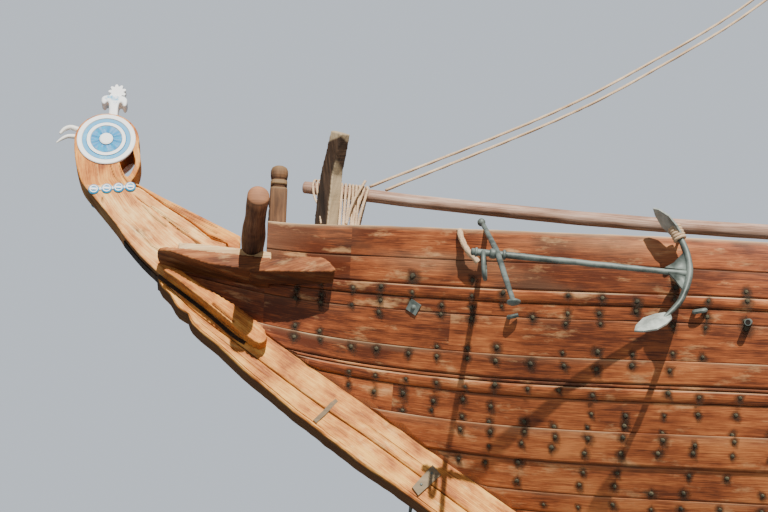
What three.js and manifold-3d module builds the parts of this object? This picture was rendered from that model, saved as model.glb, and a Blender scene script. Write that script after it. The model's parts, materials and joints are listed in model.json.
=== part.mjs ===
// A ghanjah, the ornate transom-sterned dhow: hull, carved stem head, decks, poop, anchors, masts and yards.
// Millimetres. X runs aft, Y to starboard, Z up. The origin is amidships on the centreline, at the waterline.
import * as THREE from 'three';
import { mergeVertices } from 'three/addons/utils/BufferGeometryUtils.js';
import Module from 'manifold-3d';

const wasm = await Module();
wasm.setup();

// Driving dimensions
const seat = 0.3; // clearance left where two pieces rest on each other
const keelTop = -1700;
const keelBottom = -2100;
const sided = 260; // thickness of keel, stem and sternpost across the boat
const bulwark = 110; // bulwark with its stanchions and ceiling
const deckThick = 60;
const deckEdge = 5; // caulked seam between deck and ceiling
const bowFront = -11360; // vertical fore edge of the bulwarks
const bowBlockFront = -12100; // planking below the head shelf runs on to here
const bowBlockTop = 5200;
const foredeckBreak = -7500;
const poopBreak = 6200;
const poopDrop = 120; // poop deck below the sheer line
const quarterRise = 560; // quarter bulwark above the sheer line
const sternStation = 11950;
const sternRake = 0.3;
const transomThick = 100;
const mainMast = { x: 1300, z: 2500, length: 13900, rake: 9, foot: 235, head: 120 };
const mizzenMast = { x: 8300, z: 4000, length: 8900, rake: 3, foot: 150, head: 85 };

// Hull lines, one station a row. x: station; rail: sheer height; beam: half breadth at the sheer;
// base: where the planking leaves the stem, keel or deadwood; n: fullness; m: roundness;
// rake: aft lean of the section
const stations = [
  { x: -12500, rail: 5870, beam: 140, base: 5419, n: 1.1, m: 1.0, rake: 0 },
  { x: -11350, rail: 5540, beam: 440, base: 4614, n: 1.12, m: 1.0, rake: 0 },
  { x: -10300, rail: 5240, beam: 1030, base: 3879, n: 1.2, m: 0.98, rake: 0 },
  { x: -9200, rail: 4950, beam: 1600, base: 3109, n: 1.35, m: 0.95, rake: 0 },
  { x: -8000, rail: 4680, beam: 2130, base: 2269, n: 1.55, m: 0.9, rake: 0 },
  { x: -6000, rail: 4270, beam: 2820, base: 869, n: 2.0, m: 0.84, rake: 0 },
  { x: -4000, rail: 3950, beam: 3300, base: -506, n: 2.5, m: 0.76, rake: 0 },
  { x: -1500, rail: 3670, beam: 3650, base: -1606, n: 2.9, m: 0.68, rake: 0 },
  { x: 1000, rail: 3560, beam: 3780, base: keelTop, n: 3.0, m: 0.66, rake: 0 },
  { x: 4000, rail: 3640, beam: 3720, base: -1690, n: 2.9, m: 0.7, rake: 0 },
  { x: 7000, rail: 4020, beam: 3430, base: -1300, n: 2.7, m: 0.76, rake: 0.06 },
  { x: 9000, rail: 4490, beam: 3080, base: -600, n: 2.5, m: 0.82, rake: 0.14 },
  { x: 10600, rail: 5030, beam: 2680, base: 350, n: 2.3, m: 0.85, rake: 0.22 },
  { x: sternStation, rail: 5620, beam: 2260, base: 1350, n: 2.2, m: 0.8, rake: sternRake },
];

// Deck heights along the boat. The foredeck is one step up from the main deck.
const foredeck = [{ x: bowFront, z: 4760 }, { x: -10000, z: 4450 }, { x: foredeckBreak, z: 3950 }];
const mainDeck = [
  { x: foredeckBreak, z: 3050 }, { x: -4000, z: 2760 }, { x: 1000, z: 2500 }, { x: 5000, z: 2520 },
  { x: sternStation, z: 2900 },
];

const wood = (color, roughness = 0.75) => new THREE.MeshStandardMaterial({ color, roughness, metalness: 0 });
const finishes = {
  hullWood: wood(0xa4552b, 0.6),
  palewood: wood(0xb98a55),
  deckWood: wood(0x9a7a52),
  darkWood: wood(0x5a3520),
  sparWood: wood(0xa07a60),
  rope: wood(0xb8a07a, 0.95),
  sail: wood(0xd8cdb4, 0.95),
  white: wood(0xe8ecee, 0.5),
  iron: new THREE.MeshStandardMaterial({ color: 0x3a413d, roughness: 0.6, metalness: 0.6 }),
};

const boat = new THREE.Group();

// A smooth value of one column between the stations.
function column(x, key, rows = stations) {
  const last = rows.length - 1;
  if (x >= rows[last].x) return rows[last][key];
  let i = 0;
  while (i < last - 1 && rows[i + 1].x <= x) i += 1;
  const slope = (k) => {
    const a = rows[Math.max(k - 1, 0)];
    const b = rows[Math.min(k + 1, last)];
    return (b[key] - a[key]) / (b.x - a.x);
  };
  const span = rows[i + 1].x - rows[i].x;
  const t = (x - rows[i].x) / span;
  return (2 * t ** 3 - 3 * t * t + 1) * rows[i][key] + (t ** 3 - 2 * t * t + t) * span * slope(i)
    + (3 * t * t - 2 * t ** 3) * rows[i + 1][key] + (t ** 3 - t * t) * span * slope(i + 1);
}

function straight(x, rows) {
  let i = 0;
  while (i < rows.length - 2 && rows[i + 1].x <= x) i += 1;
  return THREE.MathUtils.mapLinear(x, rows[i].x, rows[i + 1].x, rows[i].z, rows[i + 1].z);
}

// Half breadth of the planking at station x and height z.
function halfBreadth(x, z) {
  const base = column(x, 'base');
  const t = (z - base) / (column(x, 'rail') - base);
  if (t <= 0) return sided / 2;
  const beam = column(x, 'beam');
  if (t >= 1) return beam;
  return sided / 2 + (beam - sided / 2) * (1 - (1 - t) ** column(x, 'n')) ** column(x, 'm');
}

// A point of the planking, pushed out by a small allowance; side is -1 for port and 1 for starboard.
function onHull(x, z, side, out = 0) {
  return [x + column(x, 'rake') * z, side * (halfBreadth(x, z) + out), z];
}

function solidOf(geometry) {
  const bare = geometry.index ? geometry.toNonIndexed() : geometry.clone();
  bare.deleteAttribute('normal');
  bare.deleteAttribute('uv');
  const merged = mergeVertices(bare, 1e-3);
  return new wasm.Manifold(new wasm.Mesh({
    numProp: 3,
    vertProperties: merged.attributes.position.array,
    triVerts: new Uint32Array(merged.index.array),
  }));
}

// Corners left by joins and cuts are set on a fine grid, which closes edges too short to matter.
const grid = 0.05;
function geometryOf(solid) {
  const mesh = solid.getMesh();
  const onGrid = (value) => Math.round(value / grid) * grid;
  const corner = (v) => [0, 1, 2].map((c) => onGrid(mesh.vertProperties[v * mesh.numProp + c]));
  const places = [];
  for (let i = 0; i < mesh.triVerts.length; i += 3) {
    const [a, b, c] = [0, 1, 2].map((k) => corner(mesh.triVerts[i + k]));
    const same = (p, q) => p.every((value, k) => value === q[k]);
    if (!same(a, b) && !same(b, c) && !same(c, a)) places.push(...a, ...b, ...c);
  }
  const geometry = new THREE.BufferGeometry();
  geometry.setAttribute('position', new THREE.Float32BufferAttribute(places, 3));
  return geometry;
}

const join = (...pieces) => geometryOf(pieces.map(solidOf).reduce((a, b) => a.add(b)));
const cut = (piece, ...tools) => geometryOf(
  tools.map(solidOf).reduce((a, b) => a.subtract(b), solidOf(piece)));

function add(name, geometry, finish) {
  const shown = geometry.index ? geometry.toNonIndexed() : geometry;
  shown.computeVertexNormals();
  const mesh = new THREE.Mesh(shown, finishes[finish]);
  mesh.name = name;
  boat.add(mesh);
  return mesh;
}

// A closed skin through rings of equal point count, given from forward to aft and capped at both ends.
function loft(sections) {
  const flatten = (ring) => ring.map(([, y, z]) => new THREE.Vector2(y, z));
  const turned = THREE.ShapeUtils.area(flatten(sections[0])) < 0;
  const rings = turned ? sections.map((ring) => [...ring].reverse()) : sections;
  const count = rings[0].length;
  const places = [];
  for (let i = 0; i < rings.length - 1; i += 1) {
    for (let j = 0; j < count; j += 1) {
      const k = (j + 1) % count;
      const [a, b, c, d] = [rings[i][j], rings[i][k], rings[i + 1][k], rings[i + 1][j]];
      places.push(...a, ...b, ...c, ...a, ...c, ...d);
    }
  }
  const foremost = rings[0];
  const aftmost = rings[rings.length - 1];
  THREE.ShapeUtils.triangulateShape(flatten(foremost), [])
    .forEach(([a, b, c]) => places.push(...foremost[a], ...foremost[c], ...foremost[b]));
  THREE.ShapeUtils.triangulateShape(flatten(aftmost), [])
    .forEach(([a, b, c]) => places.push(...aftmost[a], ...aftmost[b], ...aftmost[c]));
  const geometry = new THREE.BufferGeometry();
  geometry.setAttribute('position', new THREE.Float32BufferAttribute(places, 3));
  return geometry;
}

// An outline drawn in side view, x and z, given a thickness across the boat around y.
function board(outline, thick, y = 0, holes = []) {
  const wound = (points, clockwise) => {
    const flat = points.map(([x, z]) => new THREE.Vector2(x, z));
    return THREE.ShapeUtils.isClockWise(flat) === clockwise ? flat : flat.reverse();
  };
  const shape = new THREE.Shape(wound(outline, false));
  holes.forEach((hole) => shape.holes.push(new THREE.Path(wound(hole, true))));
  const geometry = new THREE.ExtrudeGeometry(shape, { depth: thick, bevelEnabled: false });
  return geometry.rotateX(Math.PI / 2).translate(0, y + thick / 2, 0);
}

function box(x, y, z, lx, ly, lz) {
  return new THREE.BoxGeometry(lx, ly, lz).translate(x, y, z);
}

// A round bar between two points, with its radius at each.
function bar(from, to, radius, sides = 8, radiusEnd = radius) {
  const a = new THREE.Vector3(...from);
  const b = new THREE.Vector3(...to);
  const geometry = new THREE.CylinderGeometry(radiusEnd, radius, a.distanceTo(b), sides);
  const turn = new THREE.Quaternion().setFromUnitVectors(
    new THREE.Vector3(0, 1, 0), b.clone().sub(a).normalize());
  return geometry.applyQuaternion(turn).translate(...a.add(b).multiplyScalar(0.5).toArray());
}

// A square-sectioned timber between two points.
function timber(from, to, wide, deep) {
  const a = new THREE.Vector3(...from);
  const b = new THREE.Vector3(...to);
  const along = b.clone().sub(a).normalize();
  const across = new THREE.Vector3(0, 1, 0).cross(along).normalize();
  const basis = new THREE.Matrix4().makeBasis(across, along.clone().cross(across), along);
  const geometry = new THREE.BoxGeometry(wide, deep, a.distanceTo(b));
  basis.setPosition(a.add(b).multiplyScalar(0.5));
  return geometry.applyMatrix4(basis);
}

const arc = (cx, cz, radius, from, to, steps) => Array.from({ length: steps + 1 }, (_, i) => {
  const angle = THREE.MathUtils.degToRad(from + ((to - from) * i) / steps);
  return [cx + radius * Math.cos(angle), cz + radius * Math.sin(angle)];
});

// Hull below the decks: planked shell and frames, closed on top where the decks lie.
const hullLevels = [0, 0.03, 0.1, 0.22, 0.4, 0.62, 0.82, 1];
function hullRing(x, top, out = 0) {
  const base = column(x, 'base');
  const side = (sign) => hullLevels.map((t) => onHull(x, base + (top - base) * t, sign, out));
  const bottomOut = ([px, py, pz]) => [px, py, pz - out];
  const port = side(-1);
  const starboard = side(1);
  return [bottomOut(port[0]), ...port.slice(1), ...starboard.slice(1).reverse(), bottomOut(starboard[0])];
}

// Stations along the boat where its long pieces bend.
const bowStations = [-10900, -10300, -9800, -9200, -8600, -8000];
const waistStations = [-6700, -6000, -5000, -4000, -3000, -1500, 0, 1000, 2500, 4000, 5000];
const aftStations = [7000, 8000, 9000, 9800, 10600, 11300];
const hullStations = [
  [bowBlockFront, bowBlockTop], [-11700, bowBlockTop], [bowFront - 1, bowBlockTop],
  [bowFront + 1, straight(bowFront, foredeck)],
  ...bowStations.map((x) => [x, straight(x, foredeck)]),
  [foredeckBreak - 1, straight(foredeckBreak, foredeck)],
  [foredeckBreak + 1, straight(foredeckBreak, mainDeck)],
  ...[...waistStations, ...aftStations, sternStation].map((x) => [x, straight(x, mainDeck)]),
];
const hullSolid = (out = 0) => loft(hullStations.map(([x, top]) => hullRing(x, top + out, out)));

// Main hatch, with its hold below, sunk into the hull.
const hatch = { x: -3900, y: 0, long: 2400, wide: 1900, coaming: 260, thick: 90, hold: 1500 };
const hatchDeck = straight(hatch.x, mainDeck);
const hatchWell = box(hatch.x, hatch.y, hatchDeck, hatch.long, hatch.wide, 2 * hatch.hold);
add('hull', cut(hullSolid(), hatchWell), 'hullWood');

// Deck planking: flat across the boat, at a height for each station, its underside a depth below its top.
function planked(xs, level, inset, depth) {
  return loft(xs.map((x) => {
    const z = level(x);
    const half = halfBreadth(x, z) - inset;
    const px = x + column(x, 'rake') * z;
    const top = z + deckThick;
    return [[px, -half, top - depth], [px, half, top - depth], [px, half, top], [px, -half, top]];
  }));
}
const deckPiece = (xs, rows, depth = deckThick) => planked(
  xs, (x) => straight(x, rows) + seat, bulwark + deckEdge, depth);
const foredeckStations = [...bowStations, foredeckBreak - 2];
const mainDeckStations = [foredeckBreak + 40, ...waistStations, ...aftStations, sternStation - 10];
add('foredeck', deckPiece(foredeckStations, foredeck), 'deckWood');
add('main_deck', cut(deckPiece(mainDeckStations, mainDeck),
  box(hatch.x, hatch.y, hatchDeck, hatch.long, hatch.wide, 400)), 'deckWood');
// What stands on a deck is cut off by a solid of this depth below the deck's face.
const underDeck = 1500;
const foredeckBulk = deckPiece(foredeckStations, foredeck, underDeck).translate(0, 0, seat);
const mainDeckBulk = deckPiece(mainDeckStations, mainDeck, underDeck).translate(0, 0, seat);

// Bulwarks: the outer face is the planking itself, the inner face is the ceiling.
function wall(xs, side, bottom, top, out = 0) {
  return loft(xs.map((x) => {
    const low = bottom(x) + seat - out;
    const high = top(x) + out;
    const levels = [0, 0.5, 1].map((t) => low + (high - low) * t);
    const outer = levels.map((z) => onHull(x, z, side, out));
    const inner = levels.map((z) => {
      const [px, , pz] = onHull(x, z, side);
      return [px, side * Math.max(halfBreadth(x, z) - bulwark - out, 10), pz];
    }).reverse();
    return [...outer, ...inner];
  }));
}
const rail = (x) => column(x, 'rail');
const quarterTop = (x) => rail(x) + quarterRise;
const bulwarkRuns = [
  { name: 'bow_bulwark', xs: [bowFront + 2, ...foredeckStations],
    bottom: (x) => straight(x, foredeck), top: rail },
  { name: 'waist_bulwark', xs: [foredeckBreak + 2, ...waistStations, poopBreak - 2],
    bottom: (x) => straight(x, mainDeck), top: rail },
  { name: 'quarter_side', xs: [poopBreak + 2, ...aftStations, sternStation - 4],
    bottom: (x) => straight(x, mainDeck), top: quarterTop },
];
const sides = [{ word: 'port', sign: -1 }, { word: 'starboard', sign: 1 }];
for (const { word, sign } of sides) {
  for (const run of bulwarkRuns) {
    add(`${run.name}_${word}`, wall(run.xs, sign, run.bottom, run.top), 'hullWood');
  }
}
const grownWall = (index, sign) => wall(bulwarkRuns[index].xs, sign, bulwarkRuns[index].bottom,
  bulwarkRuns[index].top, seat);

// Keel, stem and sternpost
const baseAt = (x) => column(x, 'base');
const sternFace = (z) => sternStation + sternRake * z;
const postDepth = 350;
const keelRun = [-1500, 0, 1000, 2500, 4000].map((x) => [x, baseAt(x) - seat]);
const keelLevel = baseAt(4000) - seat;
const postFoot = sternFace(keelLevel);
add('keel', board([[-1500, keelBottom], [postFoot + postDepth, keelBottom], [postFoot + postDepth, keelLevel],
  ...[...keelRun].reverse()], sided), 'darkWood');
const deadwoodTop = [5000, ...aftStations].map((x) => [x + column(x, 'rake') * baseAt(x), baseAt(x) - seat]);
const deadwoodStart = 4300;
const noseHeight = straight(deadwoodStart, [4000, 5000].map((x) => ({ x, z: baseAt(x) })));
const tuck = 1350; // foot of the transom
add('deadwood', board([[deadwoodStart, keelLevel + seat], [postFoot - seat, keelLevel + seat],
  [sternFace(tuck) - seat, tuck - seat], ...[...deadwoodTop].reverse(), [deadwoodStart, noseHeight - seat]],
sided), 'darkWood');

const rabbetStations = [bowBlockFront, -11700, bowFront, ...bowStations, foredeckBreak, -6700, -6000, -5000,
  -4000, -3000, -1500];
const stemDepth = 300; // main stem below the rabbet, measured upright
const cutwaterDepth = 215; // false stem below the main stem
const rabbet = rabbetStations.map((x) => [x, baseAt(x) - seat]);
const seam = [[-12260, 5090], [-11990, 4820], [-11750, 4640], [-11500, 4470],
  ...[bowFront, -10300, -9200, -8000, -6000].map((x) => [x, baseAt(x) - stemDepth]), [-4000, -880],
  [-2800, -1700], [-2000, -2000], [-1500, keelBottom]];
add('stem', board([...rabbet, ...[...seam].reverse()], sided), 'palewood');
const cutwaterEdge = [[-12280, 5110], [-12260, 5040], [-12160, 4920], [-12120, 4850], [-12070, 4800],
  [-12010, 4780], [-11970, 4680], [-11750, 4495], [-11500, 4260], [-11170, 3970],
  ...[-10520, -9200, -8000, -6000].map((x) => [x, baseAt(x) - stemDepth - cutwaterDepth]), [-4000, -1120],
  [-2900, -1880], [-2500, keelBottom]];
add('false_stem', board([...cutwaterEdge, [-1520, keelBottom],
  ...[...seam].reverse().slice(1).map(([x, z]) => [x, z - 2 * seat])], sided - 20), 'palewood');

// Stem head: a round head for the painted disc, an eye-shaped hole behind it, and the knee's planks below.
const disc = { x: -12850, z: 6440, radius: 262, thick: 24 };
const headThick = 250;
const kneeThick = 200;
// Where the head and the knee behind it meet.
const kneeSeam = [[-12553, 5905], [-12348, 5745], [-12158, 5580], [-11970, 5444],
  [-11940, bowBlockTop + seat]];
const headOutline = [
  [-12288, 5118], [-12340, 5280], [-12590, 5505], [-12690, 5610], [-12900, 5850], [-12990, 5950],
  [-13045, 6040], [-13100, 6200], [-13130, 6350],
  ...arc(disc.x, disc.z, 285, 180, 0, 12), [-12545, 6350], [-12530, 6290], [-12540, 6190], [-12560, 6100],
  [-12590, 6040], [-12565, 6000], ...kneeSeam, [bowBlockFront - 0.5, bowBlockTop + seat],
  [bowBlockFront - 1, 5140], [-12263, 5093],
];
const eye = [[-12715, 6250], [-12660, 6330], [-12610, 6365], [-12590, 6270], [-12640, 6110], [-12680, 6160]];
const head = board(headOutline, headThick, 0, [eye]);
add('stem_head', head, 'palewood');
add('stem_knee', board([[-12564, 6000], [-12499, 5985], [-12296, 5900], [-11956, 5730], [-11590, 5545],
  [-11590, bowBlockTop + seat], ...kneeSeam.map(([x, z]) => [x + 2 * seat, z]).reverse()],
kneeThick), 'palewood');

for (const { word, sign } of sides) {
  const face = new THREE.CylinderGeometry(disc.radius, disc.radius, disc.thick, 32)
    .translate(disc.x, sign * (headThick / 2 + disc.thick / 2), disc.z);
  add(`head_disc_${word}`, face, 'white');
}

// Painted crest on top of the head, and the two horns of the beak.
const crestThick = 124;
const crestOutline = [[-12872, 6690], [-12868, 6800], [-12878, 6902], [-12898, 6922], [-12914, 6888],
  [-12940, 6900], [-12948, 6950], [-12930, 6976], [-12885, 6988], [-12780, 6988], [-12735, 6978],
  [-12714, 6952], [-12712, 6905], [-12735, 6874], [-12756, 6908], [-12778, 6912], [-12788, 6872],
  [-12780, 6690]];
const star = { x: -12812, z: 7040, radius: 76, thick: 90 };
const starBoard = board(arc(star.x, star.z, star.radius, 0, 330, 11), star.thick);
const crest = join(board(crestOutline, crestThick), starBoard);
add('crest', cut(crest, board(headOutline, 2 * headThick)).translate(0, 0, seat), 'white');
const horns = [
  { name: 'beak_upper', from: [-13020, 0, 6640], to: [-13290, 0, 6580] },
  { name: 'beak_lower', from: [-13030, 0, 6550], to: [-13313, 0, 6472] },
];
for (const horn of horns) {
  const cone = cut(bar(horn.from, horn.to, 36, 8, 14), board(headOutline, 2 * headThick));
  add(horn.name, cone.translate(-seat, 0, 0), 'white');
}

// Head shelf outside the bow on each side, and the cat beam that lies across both.
const catBeam = { x: -11470, z: 5255, radius: 95, reach: 1380 };
const shelfFall = Math.atan(0.165); // the shelf drops towards its aft end
const shelfSlabs = [];
// The shelf stops at the planking: it enters neither the seam ahead of the bulwarks nor the space inside them.
const seamAhead = loft([bowFront - 2, bowFront + 3].map((x) => hullRing(x, bowBlockTop + 100, 2 * seat)));
const betweenWalls = loft([bowFront, -10900, -10600].map((x) => {
  const half = (z) => halfBreadth(x, z) - bulwark / 2;
  const edge = (side) => [4700, 4900, 5100, 5300].map((z) => [x, side * half(z), z]);
  return [...edge(-1).reverse(), ...edge(1)];
}));
const cheekThick = 140;
const cheekOutline = [[-12235, 5108], [-12150, 5050], [-11990, 4925], [-11830, 4800], [-11700, 4695],
  [-11580, 4597], [-11490, 4520], [-11420, 4470], [-11365, 4462], [-11325, 4500], [-11328, 4560],
  [-11380, 4635], [-11500, 4735], [-11620, 4815], [-11760, 4900], [-12010, 5055], [-12100, 5120]];
for (const { word, sign } of sides) {
  const plan = [[-12290, 130], [-12280, 420], [-11480, 580], [-10800, 760], [-10780, 300], [-11600, 130]];
  const shape = new THREE.Shape(plan.map(([x, y]) => new THREE.Vector2(x, sign * y)));
  const slab = new THREE.ExtrudeGeometry(shape, { depth: 150, bevelEnabled: false });
  slab.rotateY(shelfFall).translate(-155, 0, 3130);
  shelfSlabs.push(slab.clone().scale(1, 1.002, 1).translate(0, 0, seat));
  const log = board(cheekOutline, cheekThick, sign * (sided / 2 + cheekThick / 2 + seat));
  const underShelf = slab.clone().scale(1, 1.002, 1).translate(0, 0, -seat);
  add(`cheek_log_${word}`, cut(log, underShelf, hullSolid(seat)), 'palewood');
  const fitted = cut(slab, hullSolid(seat), grownWall(0, sign), seamAhead, betweenWalls,
    box(-11700, 0, 5200, 2000, sided + 2 * seat, 1200));
  add(`head_shelf_${word}`, fitted, 'palewood');
}
const catEnd = (sign) => [catBeam.x, sign * catBeam.reach, catBeam.z];
const catLog = bar(catEnd(-1), catEnd(1), catBeam.radius, 12);
add('cat_beam', cut(catLog, hullSolid(seat), ...shelfSlabs), 'darkWood');

// Breasthook between the fore ends of the bulwarks, with the turned posts on it.
const breasthook = { from: bowFront + 20, to: -10960, z: 5330, thick: 130 };
const hookPlate = loft([breasthook.from, breasthook.to].map((x) => {
  const half = halfBreadth(x, breasthook.z) - bulwark / 2;
  const [low, high] = [breasthook.z, breasthook.z + breasthook.thick];
  return [[x, -half, low], [x, half, low], [x, half, high], [x, -half, high]];
}));
add('breasthook', cut(hookPlate, grownWall(0, -1), grownWall(0, 1)), 'darkWood');

const post = { x: -11275, y: 262, foot: breasthook.z + breasthook.thick + seat, top: 6192, wide: 158 };
const postShape = [{ share: 0, z: post.foot }, { share: 1, z: post.foot }, { share: 1, z: 5945 },
  { share: 0.78, z: 5957 }, { share: 0.78, z: 5980 }, { share: 0.96, z: 5992 }, { share: 0.96, z: 6022 },
  { share: 0.76, z: 6033 }, { share: 0.76, z: 6052 }, { share: 1, z: 6090 }, { share: 1, z: 6150 },
  { share: 0.6, z: post.top }, { share: 0, z: post.top }];
for (const { word, sign } of sides) {
  const turned = new THREE.LatheGeometry(
    postShape.map(({ share, z }) => new THREE.Vector2((share * post.wide) / Math.SQRT2, z)), 4);
  turned.rotateX(Math.PI / 2).rotateZ(Math.PI / 4).translate(post.x, sign * post.y, 0);
  add(`turned_post_${word}`, cut(turned, grownWall(0, sign)), 'darkWood');
}

// Leaning timberhead on the rail on each side; the stowed jib boom is lashed inside the port one.
const kevel = {
  route: [[-10865, 660, 5360], [-10835, 680, 5900], [-10777, 900, 6200]], halfDiagonal: 99, foot: 5395,
};
const kevelBar = (sign, grow = 0) => bentBar(kevel.route.map(([x, y, z]) => [x, sign * y, z]),
  kevel.route.map(() => kevel.halfDiagonal + grow), 4);
for (const { word, sign } of sides) {
  const below = box(kevel.route[0][0], sign * kevel.route[0][1], kevel.foot - 100, 400, 400, 200);
  add(`kevel_${word}`, cut(kevelBar(sign), grownWall(0, sign), below), 'darkWood');
}
const boom = {
  radius: 70, rootRadius: 80,
  route: [[-11050, -425, 5905], [-10510, -614, 5750], [-9911, -830, 5585], [-8924, -1185, 5328],
    [-7785, -1595, 5067], [-6000, -2240, 4690], [-4400, -2815, 4370]],
};
// A round bar along bent points, with a radius at each. It never runs straight across the boat.
function bentBar(route, radii, sideCount) {
  const acrossBoat = new THREE.Vector3(0, 1, 0);
  const rings = route.map((p, i) => {
    const a = new THREE.Vector3(...route[Math.max(i - 1, 0)]);
    const b = new THREE.Vector3(...route[Math.min(i + 1, route.length - 1)]);
    const along = b.sub(a).normalize();
    const right = new THREE.Vector3().crossVectors(along, acrossBoat).normalize();
    const up = new THREE.Vector3().crossVectors(along, right);
    return Array.from({ length: sideCount }, (_, k) => {
      const angle = (2 * Math.PI * k) / sideCount;
      return new THREE.Vector3(...p).addScaledVector(right, radii[i] * Math.cos(angle))
        .addScaledVector(up, radii[i] * Math.sin(angle)).toArray();
    });
  });
  const places = [];
  for (let i = 0; i < rings.length - 1; i += 1) {
    for (let j = 0; j < sideCount; j += 1) {
      const k = (j + 1) % sideCount;
      const [c, d, e, f] = [rings[i][j], rings[i][k], rings[i + 1][k], rings[i + 1][j]];
      places.push(...c, ...d, ...e, ...c, ...e, ...f);
    }
  }
  const [first, last] = [rings[0], rings[rings.length - 1]];
  for (let k = 1; k < sideCount - 1; k += 1) {
    places.push(...first[0], ...first[k + 1], ...first[k], ...last[0], ...last[k], ...last[k + 1]);
  }
  const geometry = new THREE.BufferGeometry();
  geometry.setAttribute('position', new THREE.Float32BufferAttribute(places, 3));
  return geometry;
}
const spread = (from, to, count) => Array.from(
  { length: count }, (_, i) => from + ((to - from) * i) / (count - 1));
const boomRadii = spread(boom.radius, boom.rootRadius, boom.route.length);
add('jib_boom', cut(bentBar(boom.route, boomRadii, 10), kevelBar(-1, seat)), 'sparWood');

// Crutch on the main deck that holds the aft end of the stowed boom.
const crutch = { x: -5200, y: -2528, boomAt: 4530, horns: 40, long: 110, wide: 260 };
const crutchTop = crutch.boomAt + crutch.horns;
const crutchPost = box(crutch.x, crutch.y, crutchTop - 1000, crutch.long, crutch.wide, 2000);
const grownBoom = bentBar(boom.route, boomRadii.map((r) => r + seat), 10);
const crutchMouth = box(crutch.x, crutch.y, crutch.boomAt + 60, 200, 2 * boom.rootRadius, 120);
add('boom_crutch', cut(crutchPost, mainDeckBulk, grownBoom, crutchMouth), 'darkWood');

// Sternpost outside the transom, deadwood to head, with the gudgeons that carry the rudder.
const postTop = 5950;
const gudgeonHeights = [-1300, 900, 3300];
const lean = Math.atan(sternRake);
const onStern = (geometry) => geometry.rotateY(lean).translate(sternStation, 0, 0);
const pin = { radius: 45, offset: 470, length: 260 };
// Along the leaning sternpost, heights are measured on its own axis.
const gudgeons = gudgeonHeights.map((z) => {
  const lug = box(pin.offset - 60, 0, z, 260, 150, 130);
  const hole = new THREE.CylinderGeometry(pin.radius + 6, pin.radius + 6, 400, 12).rotateX(Math.PI / 2)
    .translate(pin.offset, 0, z);
  return onStern(cut(lug, hole));
});
const sternpostSide = board([[sternFace(keelLevel + seat) + seat, keelLevel + seat],
  [sternFace(keelLevel) + postDepth, keelLevel + seat], [sternFace(postTop) + postDepth, postTop],
  [sternFace(postTop) + transomThick + 2, postTop], [sternFace(tuck - 100) + transomThick + 2, tuck - 100],
  [sternFace(tuck - 100) + seat, tuck - 100]], sided);
add('sternpost', join(sternpostSide, ...gudgeons), 'palewood');

// Transom: the outline of the last section carried aft, with its arched taffrail and cabin windows.
const transomLevels = [tuck - 60, 1500, 1750, 2100, 2600, 3200, 4000, 4800, 5620, 6180];
const transomSide = transomLevels.map((z) => [Math.max(halfBreadth(sternStation, z), sided / 2), z]);
const taffrail = [[1700, 6330], [1100, 6480], [0, 6560], [-1100, 6480], [-1700, 6330]];
const windows = [-1350, -680, 0, 680, 1350].map((y) => ({ y, z: 3900, wide: 380, high: 560 })); // arched
const windowOutline = ({ y, z, wide, high }) => {
  const half = wide / 2;
  const sill = z - high / 2;
  return [[y - half, sill], [y + half, sill], ...arc(y, sill + high - half, half, 0, 180, 6)];
};
const transomOutline = [...transomSide, ...taffrail, ...transomSide.map(([y, z]) => [-y, z]).reverse()];
const transomPlate = cut(board(transomOutline, transomThick),
  ...windows.map((light) => board(windowOutline(light), 2 * transomThick)));
// The plate is drawn facing forward, stood across the boat, then leaned by shear so that heights stay true.
const shear = new THREE.Matrix4().set(1, 0, sternRake, 0, 0, 1, 0, 0, 0, 0, 1, 0, 0, 0, 0, 1);
transomPlate.rotateZ(Math.PI / 2).translate(sternStation + transomThick / 2 + seat, 0, 0).applyMatrix4(shear);
add('transom', transomPlate, 'palewood');

// Poop: a bulkhead with two doorways, the deck over the cabin, and beams under it.
const poopLevel = (x) => rail(x) - poopDrop;
const poopStations = [poopBreak + 6, ...aftStations, sternStation - 12];
const poopPlank = (depth = deckThick) => planked(poopStations, poopLevel, bulwark / 2, depth);
add('poop_deck', cut(poopPlank(), grownWall(2, -1), grownWall(2, 1)), 'deckWood');
const bulkhead = { x: poopBreak + 260, thick: 60, wide: 6640 };
const doorways = { at: [-1100, 1100], wide: 720, high: 1020 };
const bulkheadFoot = straight(bulkhead.x, mainDeck) + deckThick + 3 * seat;
const poopUnder = poopStations.map((x) => ({ x: x + column(x, 'rake') * poopLevel(x), z: poopLevel(x) }));
const bulkheadTop = straight(bulkhead.x - bulkhead.thick / 2, poopUnder) - seat;
const bulkheadMiddle = (bulkheadFoot + bulkheadTop) / 2;
const panel = box(bulkhead.x, 0, bulkheadMiddle, bulkhead.thick, bulkhead.wide, bulkheadTop - bulkheadFoot);
const doorway = (y) => box(
  bulkhead.x, y, bulkheadFoot + doorways.high / 2, 2 * bulkhead.thick, doorways.wide, doorways.high);
add('poop_bulkhead', cut(panel, ...doorways.at.map(doorway), grownWall(2, -1), grownWall(2, 1)), 'hullWood');

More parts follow.
